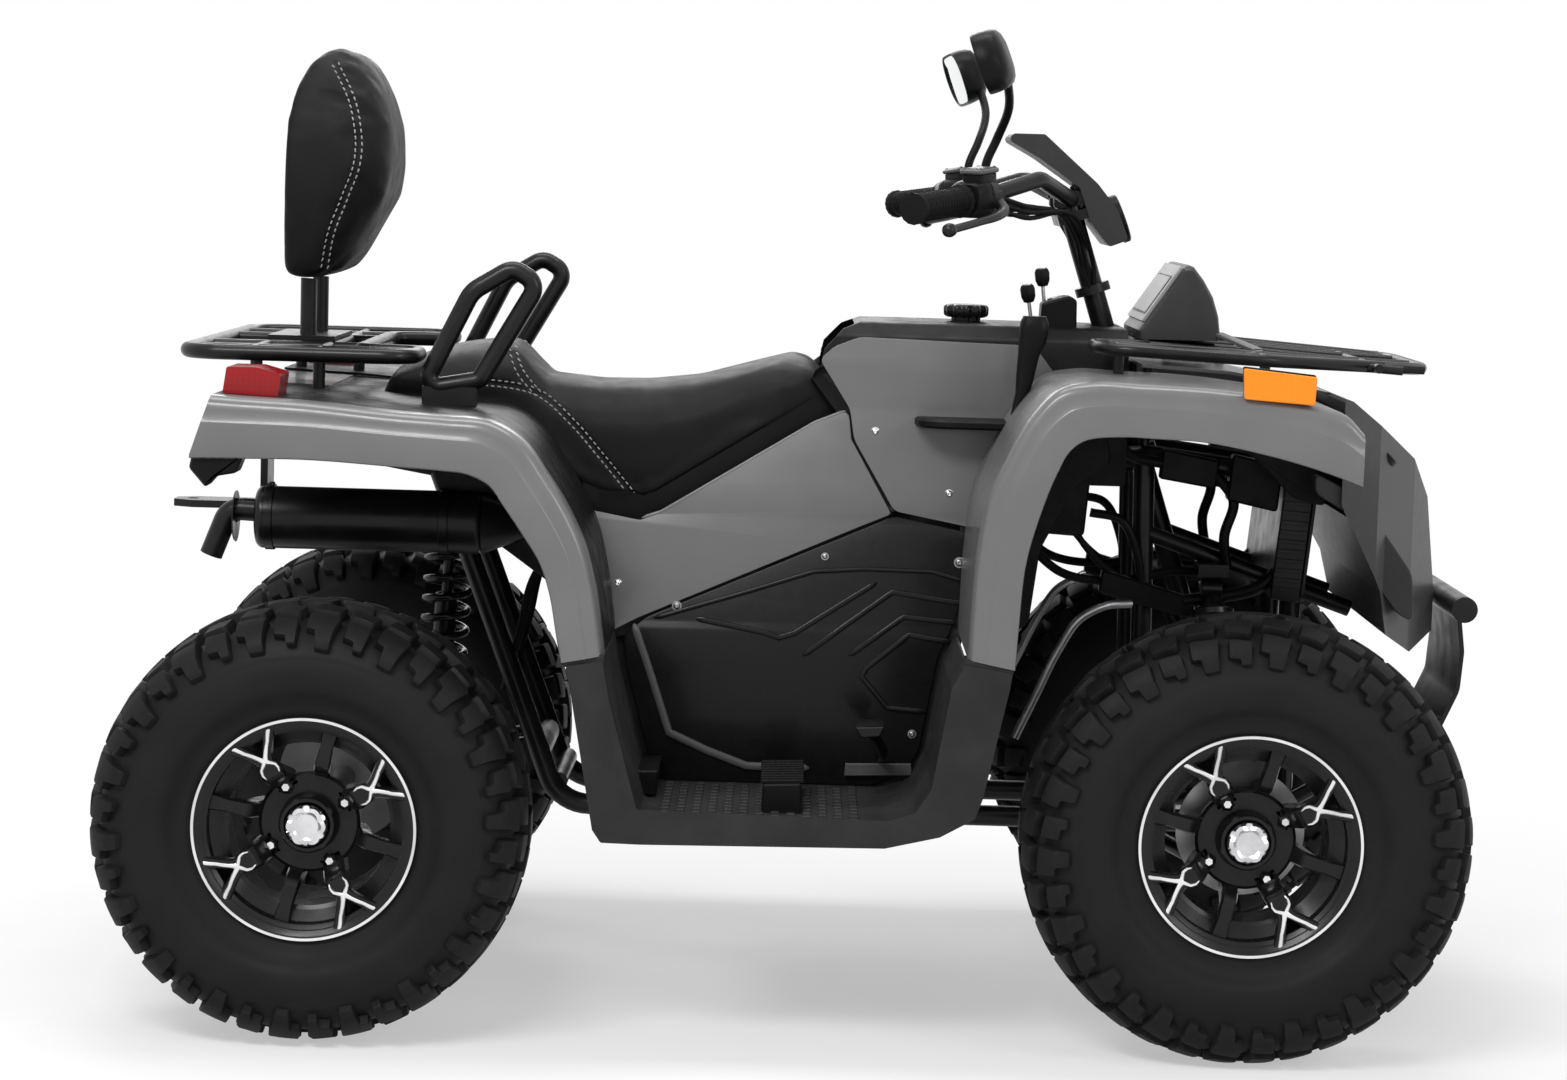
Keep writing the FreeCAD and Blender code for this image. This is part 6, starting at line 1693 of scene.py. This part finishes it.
def make_under_arches():
    """What shows through the front arch (cooler core, boxes, pipes, stays), and the rack's long bars."""
    core = Parts()
    slab(core, rounded([(0.622, 0.56), (0.662, 0.556), (0.68, 0.752), (0.64, 0.756)], 0.004),
         -0.15, 0.15, 0.002)
    fin = [(0.664, 0.566), (0.6685, 0.566), (0.685, 0.744), (0.6805, 0.744)]
    fins, louvres = 22, 14
    for y in -0.143 + np.arange(fins) * 0.0136:
        slab(core, fin, y, y + 0.004, 0.0004)
    for s in (-1, 1):
        for z in 0.572 + np.arange(louvres) * 0.0128:
            x = 0.6235 + (z - 0.56) * 0.092
            louvre = [(x, z), (x + 0.036, z - 0.002), (x + 0.036, z + 0.003), (x, z + 0.005)]
            side_slab(core, louvre, s, 0.149, 0.1535, 0.0004)
    add_piece(core, "cooler_core", "black_steel")
    boxes = Parts()
    for s in (-1, 1):
        for near, far, corner, outline in BOXES:
            side_slab(boxes, outline, s, near, far, 0.003, corner)
        for radius, line in PIPES:
            tube(boxes, on_side(s, line), radius, 30)
    add_piece(boxes, "frame_fittings", "black_plastic", 35.0)
    stays = Parts()
    for s in (-1, 1):
        tube(stays, on_side(s, [(0.285, 0.205, 0.372), (0.312, 0.2, 0.43), (0.34, 0.194, 0.49),
                                (0.366, 0.19, 0.53), (0.4, 0.18, 0.548), (0.436, 0.16, 0.55)]), 0.0058, 60)
    add_piece(stays, "bent_stays", "bare_steel", 60.0)
    bars = Parts()
    for y in (-0.195, -0.07, 0.07, 0.195):
        path = [(0.392, y, 0.893), (0.48, y, 0.8915), (0.59, y, 0.8855), (0.705, y, 0.8775),
                (0.806, y, 0.8735)]
        tube(bars, path, 0.0062, 40)
    add_piece(bars, "rack_bars", "black_steel", 60.0)


def make_footwell_fittings():
    """Foot pegs, heel boxes, the brake pedal and the step strip of the footwells."""
    pegs, strips = Parts(), Parts()
    peg = [(-0.046, 0.29), (0.006, 0.29), (0.004, 0.338), (-0.044, 0.336)]
    heel = [(-0.216, 0.302), (-0.182, 0.302), (-0.18, 0.335), (-0.214, 0.334)]
    ridge = [(-0.048, 0.336), (0.008, 0.338), (0.007, 0.3425), (-0.047, 0.3405)]
    strip = [(0.062, 0.314), (0.152, 0.317), (0.15, 0.333), (0.063, 0.331)]
    for s in (-1, 1):
        side_slab(pegs, peg, s, 0.245, 0.42, 0.002, 0.003)
        side_slab(pegs, heel, s, 0.2, 0.33, 0.002, 0.003)
        for y in 0.252 + np.arange(9) * 0.019:
            side_slab(pegs, ridge, s, y, y + 0.009, 0.0008)
        side_slab(strips, strip, s, 0.1975, 0.2035, 0.0012)
    add_piece(pegs, "foot_pegs", "black_plastic")
    add_piece(strips, "step_strips", "rim_grey")
    pedal = Parts()
    slab(pedal, rounded([(0.072, 0.399), (0.11, 0.401), (0.104, 0.388), (0.08, 0.386)], 0.003),
         -0.335, -0.262, 0.0015)
    tube(pedal, [(0.092, -0.29, 0.388), (0.104, -0.268, 0.372), (0.112, -0.24, 0.352),
                 (0.11, -0.206, 0.34)], 0.0065, 30)
    add_piece(pedal, "brake_pedal", "black_steel", 35.0)


def make_small_parts():
    """Muffler bands with their bolts, the tail pipe's end, and the tail skirts."""
    muffler = Parts()
    back, front = np.array((-0.75, -0.195, 0.636)), np.array((-0.4, -0.195, 0.636))
    along = unit(front - back)
    for at in (0.04, 0.27):
        spun(muffler, back + along * at, front,
             [(0.0, 0.041), (0.001, 0.043), (0.012, 0.043), (0.013, 0.041)], 56)
    spun(muffler, back + along * 0.001, back - along,
         [(0.0, 0.034), (0.0018, 0.033), (0.0022, 0.026), (0.001, 0.024), (0.001, 0.004)], 48)
    for s in (-1, 1):
        bolt(muffler, back + along * 0.046 + np.array((0, s * 0.012, 0.0415)), (0, 0, 1), 0.0034, True)
    add_piece(muffler, "muffler_bands", "black_steel")

    skirts = Parts()
    outline = np.array([(-760, 741), (-764, 723), (-743, 699), (-731, 713), (-705, 718), (-696, 741)]) / 1000
    for s in (-1, 1):
        side_slab(skirts, outline, s, 0.455, 0.494, 0.003, 0.004)
    add_piece(skirts, "tail_skirts", "black_plastic")


class QUAD_OT_covers(Maker, bpy.types.Operator):
    """Side covers, painted panels, arches and liners"""

    bl_idname = "quad.covers"
    bl_label = "Side covers"
    makers = (make_covers, make_panels, make_arches, make_panel_edges, make_liners)


class QUAD_OT_bar(Maker, bpy.types.Operator):
    """Grips, switch housings, reservoirs, levers, console and mirrors"""

    bl_idname = "quad.bar"
    bl_label = "Handlebar"
    makers = (make_bar, make_console, make_mirrors)


class QUAD_OT_springs(Maker, bpy.types.Operator):
    """Helical springs and dampers"""

    bl_idname = "quad.springs"
    bl_label = "Springs"
    makers = (make_springs,)


class QUAD_OT_small_parts(Maker, bpy.types.Operator):
    """Footwell studs and pegs, muffler bands, lamps, pod, reflectors and what shows under the arches"""

    bl_idname = "quad.small_parts"
    bl_label = "Small parts"
    makers = (make_treads, make_small_parts, make_lines, make_lamps, make_pod, make_reflectors,
              make_under_arches, make_footwell_fittings)


# Stage


def look_matrix(place, yaw, pitch, roll):
    """Camera matrix from angles: yaw to the right of +Y, pitch below level, roll lifting the right side."""
    forward = Vector((math.sin(yaw) * math.cos(pitch), math.cos(yaw) * math.cos(pitch), -math.sin(pitch)))
    right = forward.cross(Vector((0, 0, 1))).normalized()
    up = right.cross(forward)
    tipped = right * math.cos(roll) + up * math.sin(roll)
    up = up * math.cos(roll) - right * math.sin(roll)
    return Matrix.Translation(place) @ Matrix((tipped, up, -forward)).transposed().to_4x4()


def area_lamp(name, place, target, power, width, height):
    """A rectangular lamp at a place, facing its target."""
    data = bpy.data.lights.new(name, "AREA")
    data.shape, data.size, data.size_y, data.energy = "RECTANGLE", width, height, power
    lamp = bpy.data.objects.new(name, data)
    bpy.context.scene.collection.objects.link(lamp)
    lamp.location = place
    lamp.rotation_euler = (Vector(target) - Vector(place)).to_track_quat("-Z", "Y").to_euler()


def set_stage():
    """Camera at the photograph's angle, a pale floor and soft studio light."""
    scene = bpy.context.scene
    scene.view_settings.view_transform = "Standard"
    camera_data = bpy.data.cameras.new("camera")
    camera_data.sensor_width = 36.0
    camera_data.lens = camera_data.sensor_width * FOCAL_PIXELS / PHOTO_WIDTH
    camera_data.clip_end = 60.0
    camera = bpy.data.objects.new("camera", camera_data)
    scene.collection.objects.link(camera)
    camera.matrix_world = look_matrix(Vector(CAMERA_PLACE), *map(math.radians, CAMERA_ANGLES))
    scene.camera = camera

    s = Shader("floor")
    floor = bpy.data.meshes.new("floor")
    reach = 14.0
    corners = [(x * reach, y * reach, 0) for x, y in ((-1, -1), (1, -1), (1, 1), (-1, 1))]
    floor.from_pydata(corners, [], [(0, 1, 2, 3)])
    ground = bpy.data.objects.new("floor", floor)
    scene.collection.objects.link(ground)
    grain = s.noise(3.0, 2.0)
    tone = s.mix(grain.step(0.3, 0.7), (0.86, 0.86, 0.86), (0.88, 0.88, 0.88))
    backdrop(s, tone)
    floor.materials.append(s.material)

    scene.world = bpy.data.worlds.new("studio")
    nodes = Nodes(scene.world)
    lit, plain = (nodes.add("ShaderNodeBackground", {}, {"Color": (1, 1, 1, 1), "Strength": strength})
                  for strength in (0.4, 1.0))
    mixed = nodes.add("ShaderNodeMixShader", {}, {0: nodes.seen(), 1: lit, 2: plain})
    nodes.end(mixed, "ShaderNodeOutputWorld")

    area_lamp("key", (-1.4, -3.2, 3.4), (0.0, 0.0, 0.6), 120.0, 2.2, 1.0)
    area_lamp("front", (3.0, -2.6, 2.2), (0.3, 0.0, 0.6), 35.0, 1.4, 1.4)
    area_lamp("top", (0.0, 0.2, 4.0), (0.0, 0.0, 0.5), 80.0, 3.2, 1.2)
    area_lamp("back", (-0.6, 3.6, 2.6), (0.0, 0.0, 0.6), 45.0, 2.4, 1.4)


def backdrop(s, tone):
    """The floor's finish: pale and matt. For the camera and in reflections it shines white further out
    and half as bright close by, so that the shadow under the wheels stays."""
    x, y, _ = s.axes()
    reach = (x * x * 0.55 + y * y).power(0.5)
    matt = s.add("ShaderNodeBsdfPrincipled", {},
                 {"Base Color": tone, "Roughness": 0.9, "Specular IOR Level": 0.1})
    white = s.add("ShaderNodeEmission", {}, {"Color": (1.0, 1.0, 1.0, 1.0), "Strength": 1.0})
    mixed = s.add("ShaderNodeMixShader", {},
                  {0: s.seen() * reach.step(0.5, 2.0, 0.45, 1.0), 1: matt, 2: white})
    s.end(mixed)


class QUAD_OT_stage(Maker, bpy.types.Operator):
    """Sets up the camera, floor and lights"""

    bl_idname = "quad.stage"
    bl_label = "Stage"
    makers = (set_stage,)


class QUAD_PT_panel(bpy.types.Panel):
    """Sidebar panel that lists the pieces"""

    bl_idname = "QUAD_PT_panel"
    bl_label = "Quad bike"
    bl_space_type = "VIEW_3D"
    bl_region_type = "UI"
    bl_category = "Quad bike"

    def draw(self, context):
        for held in OPERATORS:
            self.layout.operator(held.bl_idname)
        for name in Colours.__annotations__:
            self.layout.prop(context.scene.quad_colours, name)
        for name in Sizes.__annotations__:
            self.layout.prop(context.scene.quad_sizes, name)


OPERATORS = (QUAD_OT_finishes, QUAD_OT_stage, QUAD_OT_tyres, QUAD_OT_wheels, QUAD_OT_seat, QUAD_OT_covers,
             QUAD_OT_bar, QUAD_OT_springs, QUAD_OT_small_parts)
CLASSES = (Colours, Sizes, *OPERATORS, QUAD_PT_panel)


def register():
    for held in CLASSES:
        bpy.utils.register_class(held)
    bpy.types.Scene.quad_colours = bpy.props.PointerProperty(type=Colours)
    bpy.types.Scene.quad_sizes = bpy.props.PointerProperty(type=Sizes)


def unregister():
    del bpy.types.Scene.quad_sizes
    del bpy.types.Scene.quad_colours
    for held in reversed(CLASSES):
        bpy.utils.unregister_class(held)


def plain(box):
    """A box as plain lists of numbers."""
    return [[float(v) for v in corner] for corner in box]


def main():
    """Registers the add-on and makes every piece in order."""
    register()
    for held in OPERATORS:
        group, name = held.bl_idname.split(".")
        getattr(getattr(bpy.ops, group), name)()


if __name__ == "__main__":
    main()
